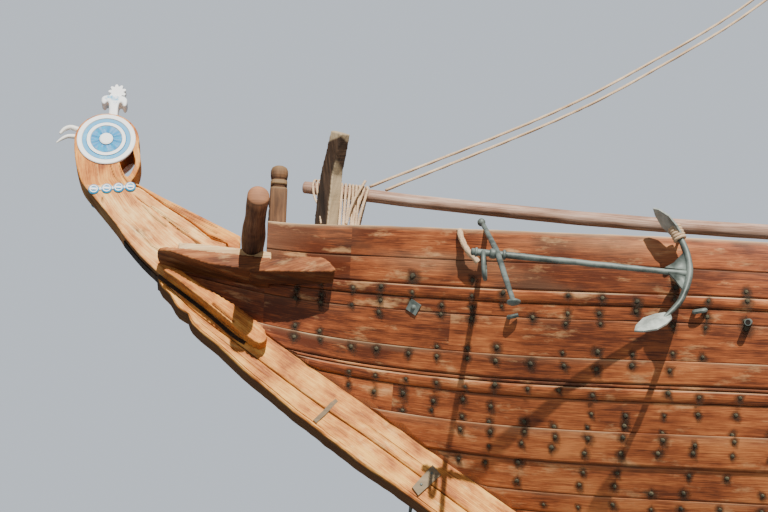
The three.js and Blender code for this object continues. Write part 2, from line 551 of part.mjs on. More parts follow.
// Rudder, hung on the gudgeons and leaning with the sternpost. Its own frame has the pins' line as Z.
const bladeEdge = 60; // gap from the pins to the fore edge of the blade
const rudderBlade = [[bladeEdge, -2050], [1450, -1950], [1480, -1300], [1180, 0], [820, 1500], [520, 3000],
  [420, 5400], [400, 7350], [bladeEdge, 7350]];
const bladeThick = 150;
const strap = { long: 190, high: 80, proud: 15, above: 106 };
const notch = { reach: 150, high: 148 };
const bladeShape = board(rudderBlade, bladeThick);
const pintles = gudgeonHeights.map((z) => {
  const shank = new THREE.CylinderGeometry(pin.radius, pin.radius, pin.length, 10).rotateX(Math.PI / 2)
    .translate(0, 0, z + 20);
  const band = box(bladeEdge, 0, z + strap.above, strap.long, bladeThick + 2 * strap.proud, strap.high);
  return join(band, shank);
});
const bladeNotches = gudgeonHeights.map(
  (z) => box(bladeEdge, 0, z, 2 * notch.reach, 2 * bladeThick, notch.high));
const rudderSolid = join(cut(bladeShape, ...bladeNotches), ...pintles);
rudderSolid.translate(pin.offset, 0, 0);
add('rudder', onStern(rudderSolid), 'palewood');
const tiller = { height: 7240, long: 3100, rise: 120, wide: 130, deep: 110 };
const tillerFrom = new THREE.Vector3(pin.offset + 300, 0, tiller.height)
  .applyAxisAngle(new THREE.Vector3(0, 1, 0), lean).add(new THREE.Vector3(sternStation, 0, 0));
const tillerTo = [tillerFrom.x - tiller.long, 0, tillerFrom.z + tiller.rise];
add('tiller', cut(timber(tillerFrom.toArray(), tillerTo, tiller.wide, tiller.deep),
  onStern(board(rudderBlade, 400).translate(pin.offset - seat, 0, seat))), 'darkWood');

// Masts stand on the decks and lean forward. Each carries its lateen yard, furled sail and rope collar.
const radians = THREE.MathUtils.degToRad;
const aloft = (slope) => new THREE.Vector3(Math.cos(radians(slope)), 0, Math.sin(radians(slope)));
function mastPieces(name, mast, bulk) {
  const axis = new THREE.Vector3(-Math.sin(radians(mast.rake)), 0, Math.cos(radians(mast.rake)));
  const foot = new THREE.Vector3(mast.x, 0, mast.z);
  const stand = (geometry) => geometry.rotateX(Math.PI / 2).rotateY(-radians(mast.rake))
    .translate(mast.x, 0, mast.z);
  const radiusAt = (height) => mast.foot + ((mast.head - mast.foot) * height) / mast.length;
  const pole = new THREE.CylinderGeometry(mast.head, mast.foot, mast.length, 12);
  add(`${name}_mast`, cut(stand(pole.translate(0, mast.length / 2, 0)), bulk), 'sparWood');
  const at = (height) => foot.clone().addScaledVector(axis, height);
  return { at, radiusAt, stand };
}

const yardSide = -1; // the yards hang on the port side of their masts
// Thickness of a yard and of the sail furled under it, by the share of the length from the sling to an end.
const yardTaper = [{ share: -1, full: 0.55 }, { share: -0.5, full: 0.85 }, { share: 0, full: 1 },
  { share: 0.5, full: 0.75 }, { share: 1, full: 0.35 }];
const sailBulk = [{ share: -0.9, full: 0.36 }, { share: -0.5, full: 0.82 }, { share: 0, full: 1 },
  { share: 0.25, full: 0.93 }, { share: 0.5, full: 0.78 }, { share: 0.93, full: 0.28 }];
function yardPieces(name, mast, frame, yard) {
  const hub = frame.at(yard.sling);
  const offset = frame.radiusAt(yard.sling) + yard.radius + yard.gap;
  const along = aloft(yard.slope);
  const middle = hub.clone().add(new THREE.Vector3(0, yardSide * offset, 0));
  const runAt = (share) => share * (share < 0 ? yard.fore : yard.aft);
  const taper = yardTaper.map(({ share, full }) => ({ x: runAt(share), z: full * yard.radius }));
  const route = taper.map(({ x }) => middle.clone().addScaledVector(along, x).toArray());
  add(`${name}_yard`, bentBar(route, taper.map(({ z }) => z), 8), 'sparWood');
  const below = aloft(yard.slope - 90);
  const depths = sailBulk.map(({ full }) => full * yard.sail);
  const sailRoute = sailBulk.map(({ share }, i) => {
    const s = runAt(share);
    const drop = straight(s, taper) + depths[i] + seat;
    return middle.clone().addScaledVector(along, s).addScaledVector(below, drop).toArray();
  });
  add(`${name}_sail_furled`, bentBar(sailRoute, depths, 8), 'sail');
  return { hub, offset };
}
const mainYard = { sling: 12700, radius: 130, gap: 110, slope: 57, fore: 7400, aft: 11800, sail: 165 };
const mizzenYard = { sling: 7900, radius: 85, gap: 45, slope: 57, fore: 4300, aft: 7000, sail: 110 };
const mainFrame = mastPieces('main', mainMast, mainDeckBulk);
const mizzenFrame = mastPieces('mizzen', mizzenMast, poopPlank(underDeck).translate(0, 0, seat));
const mainHub = yardPieces('main', mainMast, mainFrame, mainYard);
const mizzenHub = yardPieces('mizzen', mizzenMast, mizzenFrame, mizzenYard);
// A parrel of rope holds each yard to its mast and swings with it.
function parrel(name, frame, yard, hub) {
  const sideCount = 24;
  const loopThick = 45;
  const ring = (radius, high) => frame.stand(new THREE.CylinderGeometry(radius, radius, high, sideCount)
    .rotateY(Math.PI / sideCount).translate(0, yard.sling, 0));
  const inner = (frame.radiusAt(yard.sling - 60) + 2 * seat) / Math.cos(Math.PI / sideCount);
  const loop = cut(ring(inner + loopThick, 110), ring(inner, 300));
  const block = box(hub.hub.x, yardSide * (inner + loopThick + yard.gap / 2), hub.hub.z, yard.radius,
    yard.gap + 2 * loopThick, yard.radius);
  const middle = hub.hub.clone().setY(yardSide * hub.offset);
  const end = (run) => middle.clone().addScaledVector(aloft(yard.slope), run).toArray();
  const yardHole = bar(end(-400), end(400), (yard.radius + seat) / Math.cos(Math.PI / 16), 16);
  add(`${name}_parrel`, cut(join(loop, block), yardHole, ring(inner, 300)), 'rope');
}
parrel('main', mainFrame, mainYard, mainHub);
parrel('mizzen', mizzenFrame, mizzenYard, mizzenHub);

// Hatch coaming and its lid; capstan on the foredeck; water tank by the mast.
// The deck slopes under both the coaming and the capstan's step, so their feet are cut to it.
const footDepth = 600;
const coamingTop = straight(hatch.x - hatch.long / 2 - hatch.thick, mainDeck) + deckThick + hatch.coaming;
const outerLong = hatch.long + 2 * hatch.thick;
const outerWide = hatch.wide + 2 * hatch.thick;
const coaming = box(hatch.x, 0, coamingTop - footDepth / 2, outerLong, outerWide, footDepth);
add('hatch_coaming', cut(coaming, hatchWell, mainDeckBulk), 'hullWood');
const cover = { thick: 70, over: 20 };
add('hatch_cover', box(hatch.x, 0, coamingTop + seat + cover.thick / 2, outerLong + 2 * cover.over,
  outerWide + 2 * cover.over, cover.thick), 'deckWood');

const capstan = { x: -8700, step: 640, stepHigh: 80 };
const stepTop = straight(capstan.x - capstan.step / 2, foredeck) + deckThick + capstan.stepHigh;
const step = box(capstan.x, 0, stepTop - footDepth / 2, capstan.step, capstan.step, footDepth);
add('capstan_step', cut(step, foredeckBulk), 'darkWood');
const barrel = [[0, seat], [208, seat], [208, 65], [155, 120], [138, 420], [170, 522], [188, 560], [200, 640],
  [200, 685], [150, 738], [0, 740]];
add('capstan', new THREE.LatheGeometry(barrel.map(([r, z]) => new THREE.Vector2(r, z)), 12)
  .rotateX(Math.PI / 2).translate(capstan.x, 0, stepTop), 'palewood');
const tank = { x: 3500, long: 1300, wide: 1150, high: 950 };
const tankBase = straight(tank.x + tank.long / 2, mainDeck) + deckThick + 2 * seat;
add('water_tank', box(tank.x, 0, tankBase + tank.high / 2, tank.long, tank.wide, tank.high), 'hullWood');

// Anchors hang outside the bow, their stocks over the rail.
const anchor = {
  crown: [-8324, -2150, 4367], ring: [-9817, -1950, 4558], shank: 22,
  stockIn: [-9627, -1250, 5203], stockMid: [-9677, -1950, 4573], stockOut: [-9729, -2650, 3830], stock: 20,
  arm: [[-8523, -2150, 4894], [-8347, -2150, 4662], [-8288, -2150, 4516], [-8290, -2150, 4367],
    [-8337, -2150, 4230], [-8403, -2150, 4113], [-8560, -2150, 3960]],
  armRadii: [16, 30, 38, 42, 38, 30, 16],
};
const palm = [[-180, 0], [-40, 90], [110, 55], [140, 0], [110, -55], [-40, -90]];
const fluke = (x, z, turn) => board(palm, 26).rotateX(Math.PI / 2).rotateY(radians(turn))
  .translate(x, anchor.crown[1], z);
for (const { word, sign } of sides) {
  const pieces = [
    bar(anchor.ring, anchor.crown, anchor.shank, 8, anchor.shank * 1.5),
    bentBar(anchor.arm, anchor.armRadii, 8),
    bar(anchor.stockMid, anchor.stockIn, anchor.stock, 8),
    bar(anchor.stockMid, anchor.stockOut, anchor.stock, 8),
    fluke(-8510, 4868, 55),
    fluke(-8590, 3965, -27),
  ];
  const whole = join(...pieces);
  if (sign > 0) whole.scale(1, -1, 1);
  const wound = sign > 0 ? flipped(whole) : whole;
  add(`anchor_${word}`, cut(wound, grownWall(0, sign)), 'iron');
}
// Mirroring turns the faces inside out, so they are wound back.
function flipped(geometry) {
  const places = geometry.attributes.position;
  const first = new THREE.Vector3();
  const second = new THREE.Vector3();
  for (let i = 0; i < places.count; i += 3) {
    first.fromBufferAttribute(places, i);
    second.fromBufferAttribute(places, i + 1);
    places.setXYZ(i, ...second.toArray());
    places.setXYZ(i + 1, ...first.toArray());
  }
  return geometry;
}

// Standing rigging: each fan of shrouds ends in a rope collar round its mast.
function collar(frame, height, tall) {
  const sleeve = (extra, long) => frame.stand(new THREE.CylinderGeometry(
    frame.radiusAt(height + long / 2) + extra, frame.radiusAt(height - long / 2) + extra, long, 12)
    .translate(0, height, 0));
  return cut(sleeve(50, tall), sleeve(3 * seat, 2 * tall));
}
const ropeRadius = 18;
// Height of a top edge that runs straight between stations.
function chord(x, xs, level) {
  return straight(x, xs.map((station) => ({ x: station, z: level(station) })));
}
const fans = [
  { name: 'main_shrouds', mast: mainMast, frame: mainFrame, height: 10600, tall: 160,
    feet: [1900, 2900, 3700], run: bulwarkRuns[1].xs, level: rail, inboard: 55 },
  { name: 'mizzen_shrouds', mast: mizzenMast, frame: mizzenFrame, height: 6900, tall: 150,
    feet: [8300, 9300], run: bulwarkRuns[2].xs, level: quarterTop, inboard: 84 },
];
for (const fan of fans) {
  const pieces = [collar(fan.frame, fan.height, fan.tall)];
  for (const { sign } of sides) {
    fan.feet.forEach((x, i) => {
      const top = fan.frame.at(fan.height).toArray();
      top[0] += 60 * (i - (fan.feet.length - 1) / 2);
      top[1] = sign * (fan.frame.radiusAt(fan.height) + 34);
      const foot = onHull(x, chord(x, fan.run, fan.level), sign, -fan.inboard);
      const slope = chord(x + 1, fan.run, fan.level) - chord(x, fan.run, fan.level);
      const ground = foot[2] + Math.abs(slope) * ropeRadius + 2 * seat - 500;
      const lower = [foot[0], foot[1] + sign * 3, foot[2] - 40];
      pieces.push(cut(bar(top, lower, ropeRadius, 6), box(foot[0], foot[1], ground, 300, 300, 1000)));
    });
  }
  add(fan.name, join(...pieces), 'rope');
}

// Fore tackle: two slack falls from the mast's head to the turns around the boom and the port timberhead.
const tackleTop = 13300;
const tackleHead = mainFrame.at(tackleTop).toArray();
const fallSag = [{ share: 0, sag: 0 }, { share: 0.168, sag: 735 }, { share: 0.275, sag: 1094 },
  { share: 0.409, sag: 1405 }, { share: 0.58, sag: 1460 }, { share: 0.78, sag: 1050 }, { share: 1, sag: 0 }];
const falls = [[-10490, -600, 5850], [-10357, -640, 5800]].map((foot, i) => {
  const head = [tackleHead[0] - 140 + 40 * i, 70 + 50 * i, tackleHead[2]];
  const route = fallSag.map(({ share, sag }) => new THREE.Vector3(...foot)
    .lerp(new THREE.Vector3(...head), share).sub(new THREE.Vector3(0, 0, sag)).toArray());
  return bentBar(route, route.map(() => ropeRadius), 6);
});
const lashing = board([[-10690, 5900], [-10560, 5960], [-10290, 5930], [-10270, 5800], [-10420, 5600],
  [-10470, 5380], [-10480, 5240], [-10620, 5240], [-10650, 5450], [-10700, 5700]], 260, -620);
const grownBoomRope = bentBar(boom.route, boomRadii.map((r) => r + 2 * seat), 10);
add('fore_tackle', cut(join(collar(mainFrame, tackleTop, 160), ...falls, lashing), grownBoomRope,
  kevelBar(-1, 2 * seat), grownWall(0, -1)), 'rope');

// Ladder up to the poop, and the rails on the quarter.
const ladder = { foot: 5800, top: 6330, half: 270, rungs: 5 };
const ladderFootZ = straight(ladder.foot, mainDeck);
const ladderTopZ = poopLevel(6250) + 250;
const stringers = [-1, 1].map((sign) => timber([ladder.foot, sign * ladder.half, ladderFootZ - 20],
  [ladder.top, sign * ladder.half, ladderTopZ], 110, 50));
const rungs = spread(0.15, 0.8, ladder.rungs).map((share) => {
  const x = ladder.foot + (ladder.top - ladder.foot) * share;
  return box(x, 0, ladderFootZ + (ladderTopZ - ladderFootZ) * share, 160, 2 * ladder.half, 40);
});
add('ladder', cut(join(...stringers, ...rungs), mainDeckBulk), 'palewood');

const railRun = [6500, ...aftStations, 11700];
const railHigh = 430;
for (const { word, sign } of sides) {
  const cap = loft(railRun.map((x) => {
    const z = quarterTop(x) + railHigh;
    const [px, py] = onHull(x, z, sign, -32);
    return [[px, py - 30, z], [px, py + 30, z], [px, py + 30, z + 60], [px, py - 30, z + 60]];
  }));
  const posts = spread(6560, 11640, 7).map((x) => {
    const low = onHull(x, quarterTop(x) - 30, sign, -32);
    const high = onHull(x, quarterTop(x) + railHigh + 30, sign, -32);
    return timber(low, high, 60, 56);
  });
  add(`poop_rail_${word}`, cut(join(cap, ...posts), grownWall(2, sign)), 'palewood');
}

export default boat;
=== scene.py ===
import bmesh
import bpy
import json
import math
import numpy as np
from math import cos, hypot, pi, radians, sin
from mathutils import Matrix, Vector, noise
from mathutils.geometry import tessellate_polygon

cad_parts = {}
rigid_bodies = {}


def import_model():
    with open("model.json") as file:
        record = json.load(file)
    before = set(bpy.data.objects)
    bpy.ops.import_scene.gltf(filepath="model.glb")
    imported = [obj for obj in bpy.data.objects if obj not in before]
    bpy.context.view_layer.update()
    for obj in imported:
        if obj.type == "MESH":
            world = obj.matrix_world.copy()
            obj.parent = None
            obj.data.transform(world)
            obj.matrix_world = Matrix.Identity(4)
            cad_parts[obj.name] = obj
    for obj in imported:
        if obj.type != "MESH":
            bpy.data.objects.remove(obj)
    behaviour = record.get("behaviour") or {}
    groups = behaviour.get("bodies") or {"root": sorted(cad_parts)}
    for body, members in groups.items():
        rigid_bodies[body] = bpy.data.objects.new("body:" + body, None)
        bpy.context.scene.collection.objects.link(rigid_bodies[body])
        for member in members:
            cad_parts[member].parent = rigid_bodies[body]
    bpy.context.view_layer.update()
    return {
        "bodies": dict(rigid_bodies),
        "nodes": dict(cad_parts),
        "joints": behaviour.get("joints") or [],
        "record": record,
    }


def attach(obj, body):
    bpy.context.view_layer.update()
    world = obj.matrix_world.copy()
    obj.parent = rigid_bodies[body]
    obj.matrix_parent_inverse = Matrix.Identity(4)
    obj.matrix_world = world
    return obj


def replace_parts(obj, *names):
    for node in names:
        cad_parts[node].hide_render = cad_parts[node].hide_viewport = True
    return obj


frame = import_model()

# A ghanjah, the transom-sterned dhow. Metres, bow towards -X, port towards -Y, waterline at Z 0.

view = {"place": (-11.5, -10.4, 0.15), "lens": 60.94, "pitch": 27.0, "heading": 6.6}
light = {
    "sunHeight": 31.0, "sunSide": 4.0, "sunSpread": 0.6, "sunPower": 7.6, "sunColor": (1.0, 0.95, 0.87),
    "fillColor": (0.66, 0.76, 0.92), "fillPower": 0.33, "backdrop": (0.66, 0.72, 0.80),
}

def makeCamera():
    data = bpy.data.cameras.new("camera")
    data.lens = view["lens"]
    data.sensor_width = 36
    data.clip_end = 500
    camera = bpy.data.objects.new("camera", data)
    camera.location = view["place"]
    camera.rotation_euler = (radians(90 + view["pitch"]), 0, radians(-view["heading"]))
    bpy.context.scene.collection.objects.link(camera)
    bpy.context.scene.camera = camera

def makeLight():
    world = bpy.data.worlds.new("studio")
    bpy.context.scene.world = world
    world.use_nodes = True
    # The backdrop that is seen is paler than the soft light it gives.
    tree = world.node_tree
    fill = tree.nodes["Background"]
    fill.inputs["Color"].default_value = (*light["fillColor"], 1)
    fill.inputs["Strength"].default_value = light["fillPower"]
    seen = tree.nodes.new("ShaderNodeBackground")
    seen.inputs["Color"].default_value = (*light["backdrop"], 1)
    choice = tree.nodes.new("ShaderNodeMixShader")
    tree.links.new(tree.nodes.new("ShaderNodeLightPath").outputs["Is Camera Ray"], choice.inputs[0])
    tree.links.new(fill.outputs[0], choice.inputs[1])
    tree.links.new(seen.outputs[0], choice.inputs[2])
    tree.links.new(choice.outputs[0], tree.nodes["World Output"].inputs[0])
    data = bpy.data.lights.new("key", "SUN")
    data.energy = light["sunPower"]
    data.angle = radians(light["sunSpread"])
    data.color = light["sunColor"]
    key = bpy.data.objects.new("key", data)
    height = radians(light["sunHeight"])
    side = radians(light["sunSide"])
    towards = Vector((cos(height) * sin(side), -cos(height) * cos(side), sin(height)))
    key.rotation_euler = towards.to_track_quat("Z", "Y").to_euler()
    bpy.context.scene.collection.objects.link(key)

makeCamera()
makeLight()
print("camera and light made")

# Shader helpers

def link(tree, source, target):
    tree.links.new(source, target)

def node(tree, kind, **values):
    made = tree.nodes.new(kind)
    for key, value in values.items():
        if key in made.inputs:
            made.inputs[key].default_value = value
        else:
            setattr(made, key, value)
    return made

def mathNode(tree, operation, a, b=None, clamp=False):
    made = tree.nodes.new("ShaderNodeMath")
    made.operation = operation
    made.use_clamp = clamp
    for slot, value in ((0, a), (1, b)):
        if value is None:
            continue
        if isinstance(value, (int, float)):
            made.inputs[slot].default_value = value
        else:
            link(tree, value, made.inputs[slot])
    return made.outputs[0]

def times(tree, a, b, clamp=False):
    return mathNode(tree, "MULTIPLY", a, b, clamp)

def plus(tree, a, b, clamp=False):
    return mathNode(tree, "ADD", a, b, clamp)

def minus(tree, a, b):
    return mathNode(tree, "SUBTRACT", a, b)

def noiseOn(tree, vector, **values):
    made = node(tree, "ShaderNodeTexNoise", **values)
    link(tree, vector, made.inputs["Vector"])
    return made.outputs["Fac"]

def scaledVector(tree, vector, lengthwise, crosswise):
    # The vector with its X scaled by one value and its Y and Z by another.
    scale = tree.nodes.new("ShaderNodeCombineXYZ")
    for axis, source in enumerate((lengthwise, crosswise, crosswise)):
        link(tree, source, scale.inputs[axis])
    made = node(tree, "ShaderNodeVectorMath", operation="MULTIPLY")
    link(tree, vector, made.inputs[0])
    link(tree, scale.outputs[0], made.inputs[1])
    return made.outputs[0]

def bumpBy(tree, surface, height, strength, distance, invert=False):
    bumped = node(tree, "ShaderNodeBump", Strength=strength, Distance=distance)
    bumped.invert = invert
    link(tree, height, bumped.inputs["Height"])
    link(tree, bumped.outputs[0], surface.inputs["Normal"])

def ramp(tree, source, stops):
    made = tree.nodes.new("ShaderNodeValToRGB")
    elements = made.color_ramp.elements
    while len(elements) < len(stops):
        elements.new(0.5)
    for element, (place, color) in zip(elements, stops):
        element.position = place
        element.color = (*color, 1) if len(color) == 3 else color
    link(tree, source, made.inputs[0])
    return made.outputs[0]

def mixColor(tree, factor, a, b):
    made = tree.nodes.new("ShaderNodeMix")
    made.data_type = "RGBA"
    for slot, value in ((0, factor), (6, a), (7, b)):
        if isinstance(value, (int, float)):
            made.inputs[slot].default_value = value
        elif isinstance(value, tuple):
            made.inputs[slot].default_value = (*value, 1)
        else:
            link(tree, value, made.inputs[slot])
    return made.outputs[2]

def groupOf(name, inputs, outputs):
    tree = bpy.data.node_groups.new(name, "ShaderNodeTree")
    for socketName, kind, value in inputs:
        made = tree.interface.new_socket(socketName, in_out="INPUT", socket_type=kind)
        if value is not None:
            made.default_value = value
    for socketName, kind in outputs:
        tree.interface.new_socket(socketName, in_out="OUTPUT", socket_type=kind)
    return tree, tree.nodes.new("NodeGroupInput"), tree.nodes.new("NodeGroupOutput")

def rgb(r, g, b):
    return tuple(((c / 255 + 0.055) / 1.055) ** 2.4 if c > 10 else c / 255 / 12.92 for c in (r, g, b))

# Wood grain: X of the coordinates runs along the grain, in metres.
def makeGrainGroup():
    tree, start, end = groupOf("timberGrain", [
        ("Vector", "NodeSocketVector", None), ("Streak Width", "NodeSocketFloat", 18.0),
        ("Fibre Width", "NodeSocketFloat", 120.0), ("Blotch Size", "NodeSocketFloat", 1.6)],
                               [("Streaks", "NodeSocketFloat"), ("Fibres", "NodeSocketFloat"),
                                ("Blotches", "NodeSocketFloat"),
                                ("Height", "NodeSocketFloat")])

    def stretched(along, across, detail, rough):
        vector = scaledVector(tree, start.outputs["Vector"], times(tree, across, along), across)
        return noiseOn(tree, vector, Scale=1.0, Detail=detail, Roughness=rough)

    streaks = stretched(0.06, start.outputs["Streak Width"], 6.0, 0.62)
    fibres = stretched(0.035, start.outputs["Fibre Width"], 3.0, 0.6)
    blotches = stretched(0.55, start.outputs["Blotch Size"], 5.0, 0.6)
    link(tree, streaks, end.inputs["Streaks"])
    link(tree, fibres, end.inputs["Fibres"])
    link(tree, blotches, end.inputs["Blotches"])
    height = plus(tree, times(tree, streaks, 0.6), times(tree, fibres, 0.4))
    link(tree, height, end.inputs["Height"])
    return tree

# Patches where the finish is worn or dirty.
def makePatchGroup():
    tree, start, end = groupOf("patches", [
        ("Vector", "NodeSocketVector", None), ("Scale", "NodeSocketFloat", 4.0),
        ("Stretch", "NodeSocketFloat", 0.4), ("Amount", "NodeSocketFloat", 0.4)],
                               [("Mask", "NodeSocketFloat")])
    scale = start.outputs["Scale"]
    vector = scaledVector(tree, start.outputs["Vector"], times(tree, scale, start.outputs["Stretch"]), scale)
    texture = noiseOn(tree, vector, Scale=1.0, Detail=8.0, Roughness=0.68)
    low = minus(tree, 0.86, times(tree, start.outputs["Amount"], 0.62))
    above = minus(tree, texture, low)
    link(tree, times(tree, above, 9.0, clamp=True), end.inputs["Mask"])
    return tree

grainGroup = makeGrainGroup()
patchGroup = makePatchGroup()

def useGroup(tree, group, vector, **values):
    made = tree.nodes.new("ShaderNodeGroup")
    made.node_tree = group
    link(tree, vector, made.inputs["Vector"])
    for key, value in values.items():
        made.inputs[key.replace("_", " ")].default_value = value
    return made

def newMaterial(name):
    material = bpy.data.materials.new(name)
    material.use_nodes = True
    tree = material.node_tree
    return material, tree, tree.nodes["Principled BSDF"]

def placeVector(tree, source="uv"):
    if source == "uv":
        return node(tree, "ShaderNodeUVMap", uv_map="grain").outputs["UV"]
    return tree.nodes.new("ShaderNodeTexCoord").outputs["Object"]

def attribute(tree, name):
    return node(tree, "ShaderNodeAttribute", attribute_name=name).outputs["Fac"]

# A weathered timber. The mesh gives three attributes: tone differs from plank to plank; the darkening is 1 in cracks,
# seams and stains and also holds painted shade on undersides and in grooves; grey is 1 on weathered ends and edges
# and also holds painted highlight on some sunlit ledges and faces.
def timberMaterial(name, dark, mid, bright, source="uv", streak=18.0, blotch=1.6, wear=(0.8, 0.6, 0.4),
                   wearAmount=0.35, wearScale=5.0, dirt=(0.05, 0.03, 0.02), dirtAmount=0.3, rough=0.62, bump=0.35,
                   grey=(0.35, 0.31, 0.26), coat=0.0, attributes=True, streaky=0.5):
    material, tree, surface = newMaterial(name)
    vector = placeVector(tree, source)
    grain = useGroup(tree, grainGroup, vector, Streak_Width=streak, Fibre_Width=streak * 7, Blotch_Size=blotch)
    mixed = plus(tree, times(tree, grain.outputs["Streaks"], streaky),
                 times(tree, grain.outputs["Blotches"], 1 - streaky))
    fibres = times(tree, minus(tree, grain.outputs["Fibres"], 0.5), 0.45)
    mixed = plus(tree, mixed, fibres)
    if attributes:
        shift = times(tree, minus(tree, attribute(tree, "tone"), 0.5), 0.065)
        mixed = plus(tree, mixed, shift)
    color = ramp(tree, mixed, [(0.37, dark), (0.50, mid), (0.64, bright)])
    worn = useGroup(tree, patchGroup, vector, Scale=wearScale, Stretch=0.3, Amount=wearAmount)
    streaked = times(tree, worn.outputs["Mask"], grain.outputs["Streaks"])
    color = mixColor(tree, streaked, color, wear)
    dirty = useGroup(tree, patchGroup, vector, Scale=wearScale * 0.6, Stretch=0.5, Amount=dirtAmount)
    color = mixColor(tree, times(tree, dirty.outputs["Mask"], 0.55), color, dirt)
    roughness = plus(tree, times(tree, grain.outputs["Blotches"], 0.3), rough - 0.12)
    if attributes:
        # Pale grey from the mesh: weathering, and painted highlight where the mesh marks sunlit ledges and faces.
        greyed = times(tree, attribute(tree, "grey"),
                       plus(tree, times(tree, grain.outputs["Streaks"], 1.4), 0.15), clamp=True)
        color = mixColor(tree, greyed, color, grey)
        # Darkening from the mesh: dirt in cracks, seams and stains, and painted shade where it marks undersides,
        # grooves and folds.
        cavity = attribute(tree, "cavity")
        color = mixColor(tree, times(tree, cavity, 0.9, clamp=True), color, dirt)
        roughness = plus(tree, roughness, times(tree, cavity, 0.25), clamp=True)
    link(tree, color, surface.inputs["Base Color"])
    link(tree, roughness, surface.inputs["Roughness"])
    bumpBy(tree, surface, grain.outputs["Height"], bump, 0.012)
    surface.inputs["Specular IOR Level"].default_value = 0.35
    surface.inputs["Coat Weight"].default_value = coat
    surface.inputs["Coat Roughness"].default_value = 0.35
    return material

hullTeak = timberMaterial("oiledTeak", rgb(96, 46, 24), rgb(164, 88, 46), rgb(214, 134, 76), streak=24, blotch=2.4,
                          wear=rgb(236, 186, 130), wearAmount=0.49, wearScale=8, dirt=rgb(48, 32, 22),
                          dirtAmount=0.38,
                          rough=0.55, coat=0.04, grey=rgb(206, 178, 140), streaky=0.36)
stemTimber = timberMaterial("sunBleachedStem", rgb(148, 80, 34), rgb(206, 134, 62), rgb(242, 182, 96), streak=20,
                            blotch=6.5, wear=rgb(254, 214, 140), wearAmount=0.47, wearScale=8, dirt=rgb(66, 42, 28),
                            dirtAmount=0.42, rough=0.70, grey=rgb(168, 158, 138), streaky=0.22)
darkTimber = timberMaterial("oldDarkTimber", rgb(40, 24, 16), rgb(84, 52, 36), rgb(132, 92, 66), streak=20,
                            blotch=2.6,
                            wear=rgb(168, 124, 92), wearAmount=0.34, dirt=rgb(26, 18, 13), dirtAmount=0.36,
                            rough=0.7, grey=rgb(176, 122, 86))
print("timber materials made")

# Mesh helpers

def newPiece(name, verts, faces, materials, body="boat", smooth=False, slots=None):
    mesh = bpy.data.meshes.new(name)
    mesh.from_pydata(verts, [], faces)
    for material in materials:
        mesh.materials.append(material)
    if slots:
        mesh.polygons.foreach_set("material_index", slots)
    mesh.polygons.foreach_set("use_smooth", [smooth] * len(mesh.polygons))
    mesh.update()
    piece = bpy.data.objects.new(name, mesh)
    bpy.context.scene.collection.objects.link(piece)
    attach(piece, body)
    return piece

def setUv(piece, cornerUv):
    layer = piece.data.uv_layers.new(name="grain")
    layer.data.foreach_set("uv", [value for uv in cornerUv for value in uv])

def setAttribute(piece, name, values, domain="POINT"):
    made = piece.data.attributes.new(name, "FLOAT", domain)
    made.data.foreach_set("value", values)

def weatherAndShade(piece, tones, cavities, greys):
    for name, values in (("tone", tones), ("cavity", cavities), ("grey", greys)):
        setAttribute(piece, name, values)

def ripple(x, y, z):
    # Smooth noise, about -1 to 1, the same for the same place.
    return noise.noise(Vector((x, y, z)))

def scatter(*key):
    # The same number between 0 and 1 for the same key.
    value = sin(sum(k * w for k, w in zip(key, (12.9898, 78.233, 37.719, 4.581)))) * 43758.5453
    return value - math.floor(value)

def smoothStep(low, high, value):
    t = min(max((value - low) / (high - low), 0), 1)
    return t * t * (3 - 2 * t)

def along(rows, x):
    # Straight value between the rows of a list of (x, value).
    if x <= rows[0][0]:
        return rows[0][1]
    for (xa, a), (xb, b) in zip(rows, rows[1:]):
        if x <= xb:
            return a + (b - a) * (x - xa) / (xb - xa)
    return rows[-1][1]

# Hull lines, the same table as the solids have. Each row: station, sheer height, half breadth at the sheer,
# height where the planking starts, fullness, roundness, aft lean.
lineKeys = ("x", "rail", "beam", "base", "n", "m", "rake")
lines = [dict(zip(lineKeys, row)) for row in (
    (-12.50, 5.870, 0.140, 5.419, 1.10, 1.00, 0.00),
    (-11.35, 5.540, 0.440, 4.614, 1.12, 1.00, 0.00),
    (-10.30, 5.240, 1.030, 3.879, 1.20, 0.98, 0.00),
    (-9.20, 4.950, 1.600, 3.109, 1.35, 0.95, 0.00),
    (-8.00, 4.680, 2.130, 2.269, 1.55, 0.90, 0.00),
    (-6.00, 4.270, 2.820, 0.869, 2.00, 0.84, 0.00),
    (-4.00, 3.950, 3.300, -0.506, 2.50, 0.76, 0.00),
    (-1.50, 3.670, 3.650, -1.606, 2.90, 0.68, 0.00),
    (1.00, 3.560, 3.780, -1.700, 3.00, 0.66, 0.00),
    (4.00, 3.640, 3.720, -1.690, 2.90, 0.70, 0.00),
    (7.00, 4.020, 3.430, -1.300, 2.70, 0.76, 0.06),
    (9.00, 4.490, 3.080, -0.600, 2.50, 0.82, 0.14),
    (10.60, 5.030, 2.680, 0.350, 2.30, 0.85, 0.22),
    (11.95, 5.620, 2.260, 1.350, 2.20, 0.80, 0.30))]
stemHalf = 0.13
bulwark = 0.11
bowFront = -11.36
sternStation = 11.95
poopBreak = 6.2
quarterRise = 0.56
sternRake = 0.3

def lineAt(x):
    last = len(lines) - 1
    if x >= lines[last]["x"]:
        return dict(lines[last])
    i = 0
    while i < last - 1 and lines[i + 1]["x"] <= x:
        i += 1
    span = lines[i + 1]["x"] - lines[i]["x"]
    t = (x - lines[i]["x"]) / span
    found = {"x": x}
    for key in lineKeys[1:]:
        def slope(k):
            a, b = lines[max(k - 1, 0)], lines[min(k + 1, last)]
            return (b[key] - a[key]) / (b["x"] - a["x"])
        found[key] = ((2 * t ** 3 - 3 * t * t + 1) * lines[i][key] + (t ** 3 - 2 * t * t + t) * span * slope(i)
                      + (3 * t * t - 2 * t ** 3) * lines[i + 1][key] + (t ** 3 - t * t) * span * slope(i + 1))
    return found

